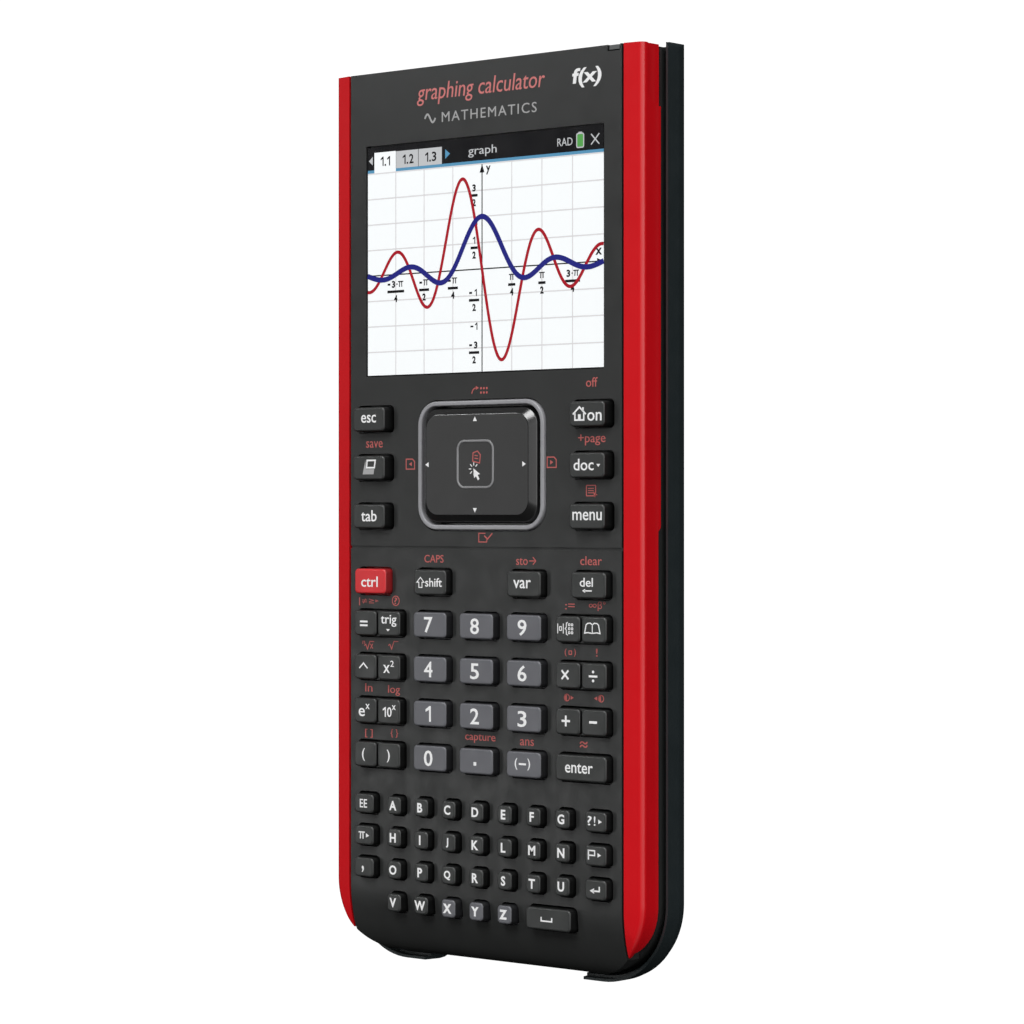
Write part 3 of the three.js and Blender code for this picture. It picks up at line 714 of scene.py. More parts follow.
def rolled_side(inset):
    """The body seen from the side, with its lower end rolled back."""
    start = CASE.low.y + ROLL_LENGTH
    reach, drop = ROLL_LENGTH - inset, ROLL_DROP - inset
    base = FACE_Z - ROLL_DROP
    angles = [math.pi / 2 * (1 + i / 20) for i in range(21)]
    roll = [(start + reach * math.cos(a), base + drop * math.sin(a)) for a in angles]
    shape = [(start - reach, 0), (CASE.high.y + 5, 0), (CASE.high.y + 5, FACE_Z - inset)]
    return shape + roll


def rolled(inset):
    return along_x(rolled_side(inset), -BEYOND_X, BEYOND_X)


def between(half_w):
    """Everything as near to the middle line as half_w."""
    return block(-half_w, half_w, -BEYOND_Y, BEYOND_Y, 0, BEYOND_Z)


def play(node):
    """The extra room that the tall navigation keys have at each side."""
    return NAVIGATION_PLAY if node in NAVIGATION_KEYS else 0


def key_plan(node):
    """Middle and size of the foot of a key's cap, from its flange."""
    box = Box(node)
    return box.center, (box.size.x - 2 * (KEY_FLANGE + play(node)), box.size.y - 2 * KEY_FLANGE)


def letter_plans(node, count):
    """Middle and size of each cap's foot in a row of letter keys."""
    box = Box(node)
    width = LETTER_WIDTH + 2 * KEY_DRAFT
    first = box.low.x + KEY_FLANGE + width / 2
    last = box.high.x - KEY_FLANGE - width / 2
    size = (width, box.size.y - 2 * KEY_FLANGE)
    pitch = (last - first) / (count - 1)
    return [((first + i * pitch, box.middle.y), size) for i in range(count)]


LETTER_ROWS = {
    "letter_keys_A_to_G": "ABCDEFG",
    "letter_keys_H_to_N": "HIJKLMN",
    "letter_keys_O_to_U": "OPQRSTU",
    "letter_keys_V_to_Z": "VWXYZ",
}
NAVIGATION_KEYS = ["key_esc", "key_calculator", "key_tab", "key_home_on", "key_doc", "key_menu"]
DOUBLE_KEYS = [
    "key_equals_trig",
    "key_power_square",
    "key_exp_tenpower",
    "key_brackets",
    "key_template_catalogue",
    "key_times_divide",
    "key_plus_minus",
]
SINGLE_KEYS = sorted(name for name in nodes if name.startswith("key_") and name not in DOUBLE_KEYS)


def key_holes():
    """Middle and size of every key's hole in the face."""
    holes = []
    for name in SINGLE_KEYS + DOUBLE_KEYS:
        middle, (w, l) = key_plan(name)
        holes.append((middle, (w + 2 * (GAP + play(name)), l + 2 * GAP)))
    for row, letters in LETTER_ROWS.items():
        holes += [(middle, (w + 2 * GAP, l + 2 * GAP)) for middle, (w, l) in letter_plans(row, len(letters))]
    return holes


def make_front_case():
    z0 = CASE.low.z
    case = as_object("front_case_shell", prism(body_outline(0), z0, FACE_Z))
    keep_inside(case, rolled(0), between(FACE_HALF_W))
    flat_faces_whole(case)
    soft_edges(case, CASE_EDGE, 30)
    settle(case)
    hollow = as_object("hollow", prism(body_outline(FACE_WALL), z0 - 1, FACE_Z - FACE_WALL))
    keep_inside(hollow, rolled(FACE_WALL), between(FACE_HALF_W - SKIRT_WALL))
    cut(case, taken_solid(hollow), merge(face_openings()))
    pocket_size = (WINDOW.size.x + 2 * WINDOW_PLAY, WINDOW.size.y + 2 * WINDOW_PLAY)
    pocket = prism(rounded(WINDOW.center, pocket_size, 0.3, 2), 10, FACE_Z - BEZEL)
    cut(case, pocket)
    flat_faces_whole(case)
    smooth(case, 35)
    piece(case, CASE_BLACK, replaces=["front_case"])


def face_openings():
    """What is cut out of the face: key holes, touchpad, screen, the groove and the light pipe's slot."""
    under = FACE_Z - FACE_WALL - 1
    holes = [prism(rounded(middle, size, KEY_CORNER + GAP), under, BEYOND_Z) for middle, size in key_holes()]
    ring_hole = [size + 2 * GAP for size in RING_PLAN]
    holes.append(prism(rounded(RING.center, ring_hole, PAD_CORNER + GAP, 12), 10, BEYOND_Z))
    screen_hole = [size + 2 * GAP for size in SCREEN_SIZE]
    holes.append(prism(rounded(WINDOW.center, screen_hole, 0.25, 3), 10, BEYOND_Z))
    seam_y = CASE.high.y - SEAM_FROM_TOP
    seam = rectangle(-SEAM_REACH, SEAM_REACH, seam_y - SEAM_WIDTH / 2, seam_y + SEAM_WIDTH / 2)
    holes.append(prism(seam, FACE_Z - SEAM_DEPTH, BEYOND_Z))
    low, high = LIGHT.low, LIGHT.high
    holes.append(block(low.x - GAP, high.x + GAP, low.y - GAP, high.y + 2, low.z - GAP, BEYOND_Z))
    return holes


# ---------------------------------------------------------------- side trims


def trim_outline(inset):
    """The body's plan for the trims, which runs on past the screen end."""
    x1 = TRIM.high.x - inset
    radius = BOTTOM_CORNER - inset
    right = arc(x1 - radius, CASE.low.y + BOTTOM_CORNER, radius, -90, 0, 28) + [(x1, CASE.high.y + 20)]
    return right + [(-x, y) for x, y in reversed(right)]


def trim_body(shrink):
    """The body with the trims' facet and ridge all along its outline."""
    width = TRIM.high.x - FACE_HALF_W - TRIM_GAP
    facet = width - RIDGE_ROUND * (1 - math.sin(FACET_TILT))
    middle_z = FACE_Z - facet * math.tan(FACET_TILT) - RIDGE_ROUND * math.cos(FACET_TILT)
    rings = [level(trim_outline(shrink), 0)]
    for i in range(13):
        turn = math.pi / 2 - (math.pi / 2 - FACET_TILT) * i / 12
        inset = shrink + RIDGE_ROUND * (1 - math.sin(turn))
        rings.append(level(trim_outline(inset), middle_z + RIDGE_ROUND * math.cos(turn) - shrink))
    rings.append(level(trim_outline(width + 1 + shrink), FACE_Z + math.tan(FACET_TILT) - shrink))
    return stack(rings)


def trim_cuts():
    """Y-Z outlines of what comes off a trim: under its lower half, and its rounded lower tip."""
    step_y = CASE.high.y - TRIM_STEP_FROM_TOP
    below = [(-BEYOND_Y, 0), (step_y + TRIM_BASE_HIGH, 0)]
    below += [(step_y, TRIM_BASE_HIGH), (-BEYOND_Y, TRIM_BASE_HIGH)]
    tip, top = TRIM.low.y + 1 + TIP_LENGTH, TRIM_BASE_HIGH + TIP_HEIGHT
    curve = [(tip + TIP_LENGTH * y, top + TIP_HEIGHT * z) for y, z in arc(0, 0, 1, 270, 180, 10)]
    return [below, [(-BEYOND_Y, 0), (tip, 0), *curve, (-BEYOND_Y, top)]]


def notch_outline():
    start, end = CASE.high.y - NOTCH_LENGTH, CASE.high.y + 5
    slope = [(start + NOTCH_RAMP, NOTCH_TOP_Z), (start, NOTCH_TOP_Z - NOTCH_RAMP)]
    return [(start, 0), (end, 0), (end, NOTCH_TOP_Z), *slope]


def make_trim(side, name):
    """A red side trim; its ridge follows the body's outline round the lower corner."""
    trim = as_object(name + "_shell", trim_body(0))
    strip = rectangle(FACE_HALF_W + TRIM_GAP, BEYOND_X, -BEYOND_Y, CASE.high.y)
    keep_inside(trim, rolled(0), prism(strip, TRIM.low.z, BEYOND_Z))
    hollow = as_object("hollow", trim_body(TRIM_WALL))
    below_end = block(-BEYOND_X, BEYOND_X, -BEYOND_Y, CASE.high.y - TRIM_WALL, 0, BEYOND_Z)
    keep_inside(hollow, rolled(TRIM_WALL), below_end)
    cut(trim, taken_solid(hollow), *(along_x(outline, 0, BEYOND_X) for outline in trim_cuts()))
    cut(trim, along_x(notch_outline(), TRIM.high.x - NOTCH_DEPTH, BEYOND_X))
    flat_faces_whole(trim)
    soft_edges(trim, TRIM_EDGE, 40)
    settle(trim)
    if side < 0:
        trim.data.transform(Matrix.Scale(-1, 4, Vector((1, 0, 0))))
        trim.data.flip_normals()
    smooth(trim, 35)
    piece(trim, TRIM_RED, replaces=[name])


# ---------------------------------------------------------------- keys


def cap_rings(middle, foot, low, high):
    """Rings of a tapered cap with a rounded upper edge; foot is its size at its lower end."""
    (w, l) = foot
    rings = [level(rounded(middle, foot, KEY_CORNER), low)]
    for i in range(6):
        angle = math.pi / 2 * i / 5
        inset = KEY_DRAFT + KEY_FILLET * (1 - math.cos(angle))
        z = high - KEY_FILLET * (1 - math.sin(angle))
        rings.append(level(rounded(middle, (w - 2 * inset, l - 2 * inset), KEY_CORNER - 0.3 * inset), z))
    return rings


def flange_rings(middle, foot, low, thickness=FLANGE_THICKNESS, room=0):
    size = (foot[0] + 2 * (KEY_FLANGE + room), foot[1] + 2 * KEY_FLANGE)
    ring = rounded(middle, size, 0.2)
    return [level(ring, low), level(ring, low + thickness)]


def plunger(x, y, low, high):
    return block(x - PLUNGER_HALF, x + PLUNGER_HALF, y - PLUNGER_HALF, y + PLUNGER_HALF, low, high)


def short(name):
    return name.removeprefix("key_")


def make_cap(node, label, material, middle, foot, room):
    """One cap with its flange and plunger."""
    box = Box(node)
    rings = flange_rings(middle, foot, FLANGE_Z, room=room)
    body = stack(rings + cap_rings(middle, foot, FLANGE_Z + FLANGE_THICKNESS, box.high.z))
    leg = plunger(*middle, box.low.z, FLANGE_Z)
    cap = smooth(as_object("cap_" + label, merge([body, leg])), 50)
    piece(cap, material, node, replaces=[node])


def make_double_key(name):
    """Two caps with a narrow split between them on one rocking base."""
    box = Box(name)
    (cx, cy), (w, l) = key_plan(name)
    flange_z = FLANGE_Z - 0.1
    base = flange_rings((cx, cy), (w, l), flange_z, ROCKER_THICKNESS)
    base.append(level(rounded((cx, cy), (w - 0.2, l - 0.2), KEY_CORNER), flange_z + ROCKER_THICKNESS))
    base.append(level(rounded((cx, cy), (w - 0.3, l - 0.3), KEY_CORNER), box.high.z - SPLIT_DEPTH))
    parts = [stack(base)]
    half = (w + 2 * KEY_DRAFT - SPLIT_WIDTH) / 2
    for side in (-1, 1):
        middle = (cx + side * (w - half) / 2, cy)
        parts.append(stack(cap_rings(middle, (half, l), flange_z + 0.6, box.high.z)))
        parts.append(plunger(cx + side * (w - 2 * KEY_DRAFT) / 4, cy, box.low.z, flange_z))
    cap = smooth(as_object("cap_" + short(name), merge(parts)), 50)
    piece(cap, KEY_BLACK, name, replaces=[name])


def make_keys():
    numbers = [f"key_{digit}" for digit in range(10)] + ["key_point", "key_negative"]
    for name in SINGLE_KEYS:
        material = KEY_RED if name == "key_ctrl" else KEY_GREY if name in numbers else KEY_BLACK
        make_cap(name, short(name), material, *key_plan(name), play(name))
    for name in DOUBLE_KEYS:
        make_double_key(name)
    for row, letters in LETTER_ROWS.items():
        for letter, plan in zip(letters, letter_plans(row, len(letters))):
            make_cap(row, letter, KEY_GREY if letter in "XYZ" else KEY_BLACK, *plan, LETTER_PLAY)


# ---------------------------------------------------------------- what is printed on the keys

# Text, its middle measured from the key's middle, and its width and height.
KEY_TEXT = {
    "key_esc": [("esc", 0.1, 0.1, 4.3, 1.7)],
    "key_tab": [("tab", 0.2, 0.1, 4.5, 2.4)],
    "key_home_on": [("on", 2.1, -0.6, 3.7, 1.75)],
    "key_doc": [("doc", -0.7, 0.1, 5.2, 2.35), ("▾", 3.1, -0.1, 1.0, 0.6)],
    "key_menu": [("menu", 0.2, 0.1, 7.6, 1.75)],
    "key_ctrl": [("ctrl", -0.1, -0.1, 4.8, 2.25)],
    "key_shift": [("shift", 1.2, 0, 4.7, 1.85)],
    "key_var": [("var", -0.3, 0, 4.7, 1.75)],
    "key_del": [("del", -0.4, 0.6, 3.4, 1.8)],
    "key_equals_trig": [("trig", 3.5, 0.6, 4.5, 2.5), ("▾", 3.3, -1.4, 1.1, 0.5)],
    "key_power_square": [("x", 2.9, -0.3, 1.9, 1.7), ("2", 4.5, 0.85, 1.0, 1.3)],
    "key_exp_tenpower": [("e", -4.3, -0.4, 1.8, 1.8), ("x", -2.6, 0.85, 1.2, 1.1), ("x", 5.0, 0.9, 1.1, 1.0)],
    "key_brackets": [("(", -3.8, -0.1, 0.85, 2.7), (")", 3.4, -0.1, 0.85, 2.7)],
    "key_enter": [("enter", -0.4, 0, 7.2, 2.0)],
    "key_negative": [("(", -1.9, 0.1, 0.7, 2.4), (")", 1.5, 0.1, 0.7, 2.4)],
    "key_ee": [("EE", 0, 0, 2.1, 1.8)],
    "key_comma": [(",", -0.2, -0.4, 0.6, 1.4)],
    "key_punctuation": [("?", -1.4, 0.2, 1.1, 1.9), ("!", -0.1, 0.2, 0.4, 1.9)],
}
DIGIT_SIZE = (2.4, 3.3)
DIGIT_SHIFT = -0.3
ONE_WIDTH = 1.5
LETTER_HEIGHT = 2.0


def key_print(name):
    return Print(Box(name).high.z)


def arrowhead(x, y, size, side=1, length=None):
    """A filled triangle that points right, or left with side -1; it is as long as it is high unless given."""
    tip = side * (length or size) / 2
    shape = [(x - tip, y - size / 2), (x + tip, y), (x - tip, y + size / 2)]
    return shape if side > 0 else shape[::-1]


def bar(x, y, width, thickness):
    return rectangle(x - width / 2, x + width / 2, y - thickness / 2, y + thickness / 2)


def cross(x, y, reach, thickness, turn=0):
    """Outline of a plus sign, turned by an angle in degrees."""
    t = thickness / 2
    points = []
    for quarter in range(4):
        a = math.radians(turn + 90 * quarter)
        for px, py in [(reach, -t), (reach, t), (t, t)]:
            points.append((x + px * math.cos(a) - py * math.sin(a), y + px * math.sin(a) + py * math.cos(a)))
    return points


def equals_sign(ink):
    ink.fill(bar(0, 0.4, 2.2, 0.4), bar(0, -0.4, 2.2, 0.4))


def caret(ink):
    ink.line([(-1.2, -0.55), (0, 0.55), (1.2, -0.55)], 0.3)


def times_sign(ink):
    ink.fill(cross(0, 0, 1.25, 0.42, 45))


def divide_sign(ink):
    ink.fill(bar(0, 0, 2.2, 0.42))
    ink.disc(0, 0.9, 0.3)
    ink.disc(0, -0.9, 0.3)


def plus_sign(ink):
    ink.fill(cross(0, 0, 1.1, 0.45))


def minus_sign(ink):
    ink.fill(bar(0, 0, 2.0, 0.5))


def shift_arrow(ink):
    """A hollow arrow that points up."""
    half = [(0, 1.1), (-1.0, 0.1), (-0.45, 0.1), (-0.45, -1.0)]
    ink.line(half + [(-x, y) for x, y in reversed(half[1:])], 0.2, closed=True)


def back_arrow(ink):
    ink.line([(-0.6, 0), (1.3, 0)], 0.26)
    ink.fill(arrowhead(-0.8, 0, 0.8, -1))


def return_arrow(ink):
    ink.line([(1.1, 0.75), (1.1, -0.2), (-0.5, -0.2)], 0.32)
    ink.fill(arrowhead(-0.8, -0.2, 1.1, -1))


def ten(ink):
    ink.figures("10", 0, 0, 2.1)


def house(ink):
    """The home mark: a roof line over a square with a door."""
    ink.line([(-1.7, -0.1), (0, 1.35), (1.7, -0.1)], 0.36)
    ink.line([(-1.15, 0.2), (-1.15, -1.25), (1.15, -1.25), (1.15, 0.2)], 0.34)
    ink.fill(rectangle(-0.35, 0.35, -1.1, -0.1))
    ink.fill([(0.75, 0.75), (1.15, 0.45), (1.15, 1.3), (0.75, 1.3)])


def pocket_calculator(ink, shade):
    """A small calculator drawn leaning, with its screen left dark."""
    ink.line([(-0.6, 1.45), (1.75, 1.45), (1.5, -0.1), (-0.75, -0.1)], 0.35, closed=True)
    shade.fill([(-1.1, 1.45), (-1.9, -1.5), (1.25, -1.5), (1.45, -0.4), (-0.95, -0.4)])


def flag(ink):
    ink.line([(-1.5, -1.0), (-1.5, 1.0)], 0.32)
    ink.line([(-1.5, 0.85), (0.1, 0.85), (0.1, -0.1), (-1.5, -0.1)], 0.28)
    ink.fill(arrowhead(1.3, 0, 0.9))


def point(ink):
    ink.fill(rounded((0, 0), (0.75, 0.75), 0.1, 2))


def short_minus(ink):
    ink.fill(bar(0, 0, 1.9, 0.4))


def pi_sign(ink, x=0, y=0, size=1.5):
    """The letter pi: a bar on two legs."""
    w, h = 0.6 * size, size / 2
    ink.line([(x - w, y + h - 0.1), (x + w, y + h - 0.1)], 0.18 * size)
    for top, foot in ((-0.22, -0.28), (0.24, 0.26)):
        ink.line([(x + top * size, y + h - 0.15), (x + foot * size, y - h)], 0.18 * size)


def small_arrowhead(ink):
    ink.fill(arrowhead(0, 0, 0.9))


def space_mark(ink):
    ink.line([(-1.4, 0.4), (-1.4, -0.4), (1.4, -0.4), (1.4, 0.4)], 0.3)


def small_box(ink, x, y, size, width):
    ink.line(rounded((x, y), size, 0.05, 1), width, closed=True)


def template_mark(ink):
    """Boxes and a brace: the key that opens the list of templates."""
    for x in (-1.9, -0.45):
        ink.line([(x, -1.0), (x, 1.0)], 0.2)
    small_box(ink, -1.17, 0, (0.55, 0.75), 0.18)
    half = [(0.75, 1.3), (0.35, 1.1), (0.35, 0.3)]
    ink.line(half + [(0.05, 0)] + [(x, -y) for x, y in reversed(half)], 0.2)
    for y in (-0.8, 0, 0.8):
        for x in (1.1, 1.85):
            small_box(ink, x, y, (0.4, 0.4), 0.16)


def open_book(ink):
    for side in (-1, 1):
        edge = [(0, 0.8), (0.5, 1.15), (1.2, 1.1), (1.6, 0.8), (2.0, -0.9), (1.2, -0.75), (0, -0.9)]
        ink.line([(side * x, y) for x, y in edge], 0.24)
    ink.line([(0, 0.8), (0, -0.9)], 0.2)


# Drawn marks of each key, with their middle measured from the key's middle.
KEY_MARKS = {
    "key_home_on": [(house, -1.8, 0)],
    "key_shift": [(shift_arrow, -2.5, -0.1)],
    "key_del": [(back_arrow, -0.3, -1.1)],
    "key_equals_trig": [(equals_sign, -3.7, -0.1)],
    "key_power_square": [(caret, -3.8, 0.2)],
    "key_times_divide": [(times_sign, -4.0, 0.1), (divide_sign, 3.3, 0)],
    "key_exp_tenpower": [(ten, 3.1, -0.1)],
    "key_plus_minus": [(plus_sign, -3.8, 0.1), (minus_sign, 3.3, 0.1)],
    "key_template_catalogue": [(template_mark, -4.0, 0.1), (open_book, 3.1, 0.2)],
    "key_point": [(point, -0.2, -0.5)],
    "key_negative": [(short_minus, -0.2, 0.1)],
    "key_pi": [(pi_sign, -0.5, 0), (small_arrowhead, 1.2, 0)],
    "key_punctuation": [(small_arrowhead, 1.3, 0.1)],
    "key_flag": [(flag, -0.2, 0.2)],
    "key_return": [(return_arrow, 0, 0)],
    "key_space": [(space_mark, -0.3, 0)],
}


def make_key_legends():
    for name in sorted(KEY_TEXT.keys() | KEY_MARKS.keys()):
        middle = Box(name).middle
        ink = key_print(name)
        for text, dx, dy, width, height in KEY_TEXT.get(name, []):
            ink.text(text, middle.x + dx, middle.y + dy, width, height, bold=0.008)
        for draw, dx, dy in KEY_MARKS.get(name, []):
            draw(ink.at(middle.x + dx, middle.y + dy))
        ink.build("legend_" + short(name), LEGEND_WHITE, name)
    middle = Box("key_calculator").middle
    spot = (middle.x + 0.3, middle.y + 0.1)
    ink, shade = key_print("key_calculator").at(*spot), key_print("key_calculator").at(*spot)
    pocket_calculator(ink, shade)
    ink.build("legend_calculator_outline", LEGEND_WHITE, "key_calculator")
    shade.build("legend_calculator_body", LEGEND_GREY, "key_calculator", slot="legend_white")
    for digit in range(10):
        name = f"key_{digit}"
        middle = Box(name).middle
        ink = key_print(name)
        if digit == 1:
            ink.one(middle.x + DIGIT_SHIFT, middle.y, DIGIT_SIZE[1], ONE_WIDTH)
        else:
            ink.text(str(digit), middle.x + DIGIT_SHIFT, middle.y, *DIGIT_SIZE, bold=0.012)
        ink.build("legend_" + short(name), LEGEND_WHITE, name)
    for row, letters in LETTER_ROWS.items():
        ink = key_print(row)
        for letter, ((x, y), _) in zip(letters, letter_plans(row, len(letters))):
            ink.text(letter, x - 0.2, y, height=LETTER_HEIGHT, bold=0.05 if letter in "XYZ" else 0.03)
        ink.build("legends_" + letters[0] + "_to_" + letters[-1], LEGEND_WHITE, row)


# ---------------------------------------------------------------- what is printed on the face

# Label, the node that it belongs to, its middle measured from that node's middle, its width and height.
FACE_LABELS = [
    ("off", "key_home_on", -0.45, 6.4, 3.0, 1.9),
    ("+page", "key_doc", -0.45, 5.1, 7.1, 2.2),
    ("save", "key_calculator", -0.35, 5.0, 4.8, 1.4),
    ("CAPS", "key_shift", -0.3, 4.9, 5.4, 1.6),
    ("sto→", "key_var", -0.7, 4.7, 5.4, 1.7),
    ("clear", "key_del", -0.65, 4.9, 5.6, 1.8),
    ("|≠≥▸", "key_equals_trig", -3.9, 4.5, 5.7, 1.7),
    (":=", "key_template_catalogue", -4.2, 4.5, 2.5, 1.2),
    ("∞β°", "key_template_catalogue", 2.9, 4.7, 4.3, 1.9),
    ("(", "key_times_divide", -5.3, 4.5, 0.5, 1.6),
    (")", "key_times_divide", -2.9, 4.5, 0.5, 1.6),
    ("!", "key_times_divide", 2.8, 4.7, 0.45, 1.6),
    ("ln", "key_exp_tenpower", -3.9, 4.8, 2.1, 1.8),
    ("log", "key_exp_tenpower", 3.4, 4.4, 3.4, 2.2),
    ("[ ]", "key_brackets", -3.9, 4.3, 2.2, 1.8),
    ("{ }", "key_brackets", 3.5, 4.6, 2.1, 1.8),
    ("capture", "key_point", -0.3, 4.6, 8.3, 1.85),
    ("ans", "key_negative", -0.5, 4.4, 3.7, 1.3),
    ("≈", "key_enter", -0.6, 4.7, 2.0, 1.3),
]


def page_mark(ink, side):
    """A page with a bent corner, and an arrowhead to one side."""
    ink.line([(-1.2, -1.05), (1.2, -1.05), (1.2, 0.5), (0.6, 1.05), (-1.2, 1.05)], 0.22, closed=True)
    ink.fill(arrowhead(0, 0, 0.9, side, length=0.8))


def page_left(ink):
    page_mark(ink, -1)


def page_right(ink):
    page_mark(ink, 1)


def question_mark(ink):
    ink.circle(0, 0, 1.0, 0.18)
    ink.text("?", 0, 0, 0.8, 1.35, bold=0)


def empty_box(ink):
    small_box(ink, 0, 0, (0.7, 0.7), 0.2)


def undo_mark(ink):
    """A curved arrow and two rows of dots: the mark over the touchpad."""
    ink.line(arc(-1.0, -0.7, 1.2, 90, 180, 6)[::-1], 0.22)
    ink.fill(arrowhead(-0.7, 0.5, 0.8))
    for x in (0.3, 1.1, 1.9):
        for y in (-0.5, 0.4):
            ink.fill(rounded((x, y), (0.45, 0.45), 0.1, 1))


def checked_box(ink):
    ink.line([(0.1, 0.9), (-1.7, 0.9), (-1.7, -0.9), (0.5, -0.9), (0.5, -0.3)], 0.2)
    ink.line([(-0.2, 0.4), (0.7, -0.3), (2.0, 0.9)], 0.26)


def list_mark(ink):
    """A framed list with a pointer over its corner."""
    ink.line(rounded((0, 0), (2.4, 2.1), 0.1, 1), 0.2, closed=True)
    for y in (0.45, 0, -0.45):
        ink.line([(-0.8, y), (0.7, y)], 0.16)
    ink.fill([(1.7, -0.9), (1.2, -0.9), (1.0, -1.4), (0.5, -0.2)])


def half_disc(ink, x):
    ink.circle(x, 0, 0.68, 0.18)
    ink.disc(x, 0, 0.66, 90, 270)


def less_contrast(ink):
    half_disc(ink, -0.4)
    ink.fill(arrowhead(1.0, 0, 0.8))


def more_contrast(ink):
    ink.fill(arrowhead(-1.0, 0, 0.8, -1))
    half_disc(ink, 0.4)


def radical(ink, x=0):
    points = [(-1.4, -0.1), (-1.0, 0.15), (-0.5, -0.85), (0.2, 0.8), (1.4, 0.8)]
    ink.line([(x + px, py) for px, py in points], 0.2)


def root_mark(ink):
    """A root with its small index and the figure under it."""
    ink.text("n", -1.3, 0.55, 0.7, 0.7, bold=0)
    radical(ink, 0.3)
    ink.text("x", 1.0, -0.2, 0.9, 1.0, bold=0)


# Drawn mark, the node that it belongs to, and its middle measured from that node's middle.
FACE_MARKS = [
    (page_left, "touchpad", -19.9, 0.4),
    (page_right, "touchpad", 19.0, 0.4),
    (undo_mark, "touchpad", -0.4, 15.5),
    (checked_box, "touchpad", 1.0, -15.0),
    (list_mark, "key_menu", -0.65, 5.2),
    (question_mark, "key_equals_trig", 3.9, 4.8),
    (root_mark, "key_power_square", -4.1, 4.5),
    (radical, "key_power_square", 3.2, 4.7),
    (empty_box, "key_times_divide", -4.1, 4.5),
    (less_contrast, "key_plus_minus", -4.6, 4.7),
    (more_contrast, "key_plus_minus", 3.5, 4.8),
]


def make_face_print():
    red = Print(FACE_Z)
    for text, node_name, dx, dy, width, height in FACE_LABELS:
        middle = Box(node_name).middle
        red.text(text, middle.x + dx, middle.y + dy, width, height, bold=0)
    for draw, node_name, dx, dy in FACE_MARKS:
        middle = Box(node_name).middle
        draw(red.at(middle.x + dx, middle.y + dy))
    red.build("face_labels", LEGEND_RED)
    screen = WINDOW.center
    rose, grey, white = (Print(FACE_Z).at(*screen) for _ in range(3))
    rose.text("graphing calculator", -0.4, 34.3, 35.2, 4.6, bold=0, lean=0.15)
    rose.build("face_title", LEGEND_ROSE, slot="legend_red")
    grey.text("MATHEMATICS", 2.0, 29.2, 26.0, 2.1, bold=0, spacing=1.2)
    grey.line([(i * 0.25 - 15.8, 29.2 + 0.9 * math.sin(i * 0.52)) for i in range(13)], 0.4)
    grey.build("face_subtitle", LEGEND_GREY, slot="legend_white")
    white.text("f(x)", 28.2, 34.1, 7.6, 4.0, bold=0.03, lean=0.1)
    white.build("face_suffix", LEGEND_WHITE)


# ---------------------------------------------------------------- touchpad


def swept_frame(middle, size, corner, section, steps=10):
    """A frame with rounded corners; section lists inset and height round its cross section."""
    w, l = size
    rings = []
    for inset, z in section:
        rings.append(level(rounded(middle, (w - 2 * inset, l - 2 * inset), corner - inset, steps), z))
    return stack(rings, closed=True)


def round_top(inset0, inset1, high, radius, steps=4):
    """The part of a cross section that goes over a rounded top edge from inset0 to inset1."""
    angles = [math.pi / 2 * i / steps for i in range(steps + 1)]
    curve = [(radius * (1 - math.cos(a)), high - radius * (1 - math.sin(a))) for a in angles]
    return [(inset0 + reach, z) for reach, z in curve] + [(inset1 - reach, z) for reach, z in reversed(curve)]


def make_ring():
    low, foot = RING.low.z, RING.low.z + 0.7
    section = [(RING_WIDTH, low), (-RING_FLANGE, low), (-RING_FLANGE, foot), (0, foot)]
    section += round_top(0, RING_WIDTH, RING.high.z, 0.3)
    ring = as_object("pad_ring", swept_frame(RING.center, RING_PLAN, PAD_CORNER, section))
    fix_normals(ring)
    smooth(ring, 50)
    piece(ring, RING_SILVER, replaces=["touchpad_ring"])


def pad_plan(inset, share):
    """The pad's outline, inset from its foot's, with the given share of its lean and extra length."""
    spot = (PAD.center[0], PAD.center[1] + PAD_LEAN * share)
    w, l = (size - 2 * (RING_WIDTH + GAP + inset) for size in RING_PLAN)
    corner = PAD_CORNER - RING_WIDTH - GAP - PAD_CORNER_LOSS * inset
    return rounded(spot, (w, l + PAD_EXTRA_LENGTH * share), corner, 8)


def make_touchpad():
    top = PAD.high.z + PAD_RISE
    foot = rounded(PAD.center, (PAD.size.x, PAD.size.y), 1.0, 8)
    foot_z = PAD.low.z + 0.7
    rings = [level(foot, PAD.low.z), level(foot, foot_z)]
    slope = [(0, foot_z), (0, PAD_SHOULDER_Z), (0.45, top - PAD_RAMP - 0.1), (0.55, top - PAD_RAMP)]
    slope += [(PAD_BEVEL - 0.1, top - 0.06), (PAD_BEVEL, top - 0.02), (PAD_BEVEL + 0.2, top)]
    rings += [level(pad_plan(inset, inset / PAD_BEVEL), z) for inset, z in slope]
    pad = smooth(as_object("pad_body", stack(rings)), 60)
    piece(pad, PAD_GLOSS, "touchpad", replaces=["touchpad"])
    surface = as_object("pad_surface", prism(pad_plan(PAD_BEVEL + 0.05, 1), top - 0.05, top + INK))
    piece(surface, PAD_BLACK, "touchpad")
    make_pad_marks(PAD.center[0] + 0.85 * PAD_RISE, PAD.center[1], top + INK)


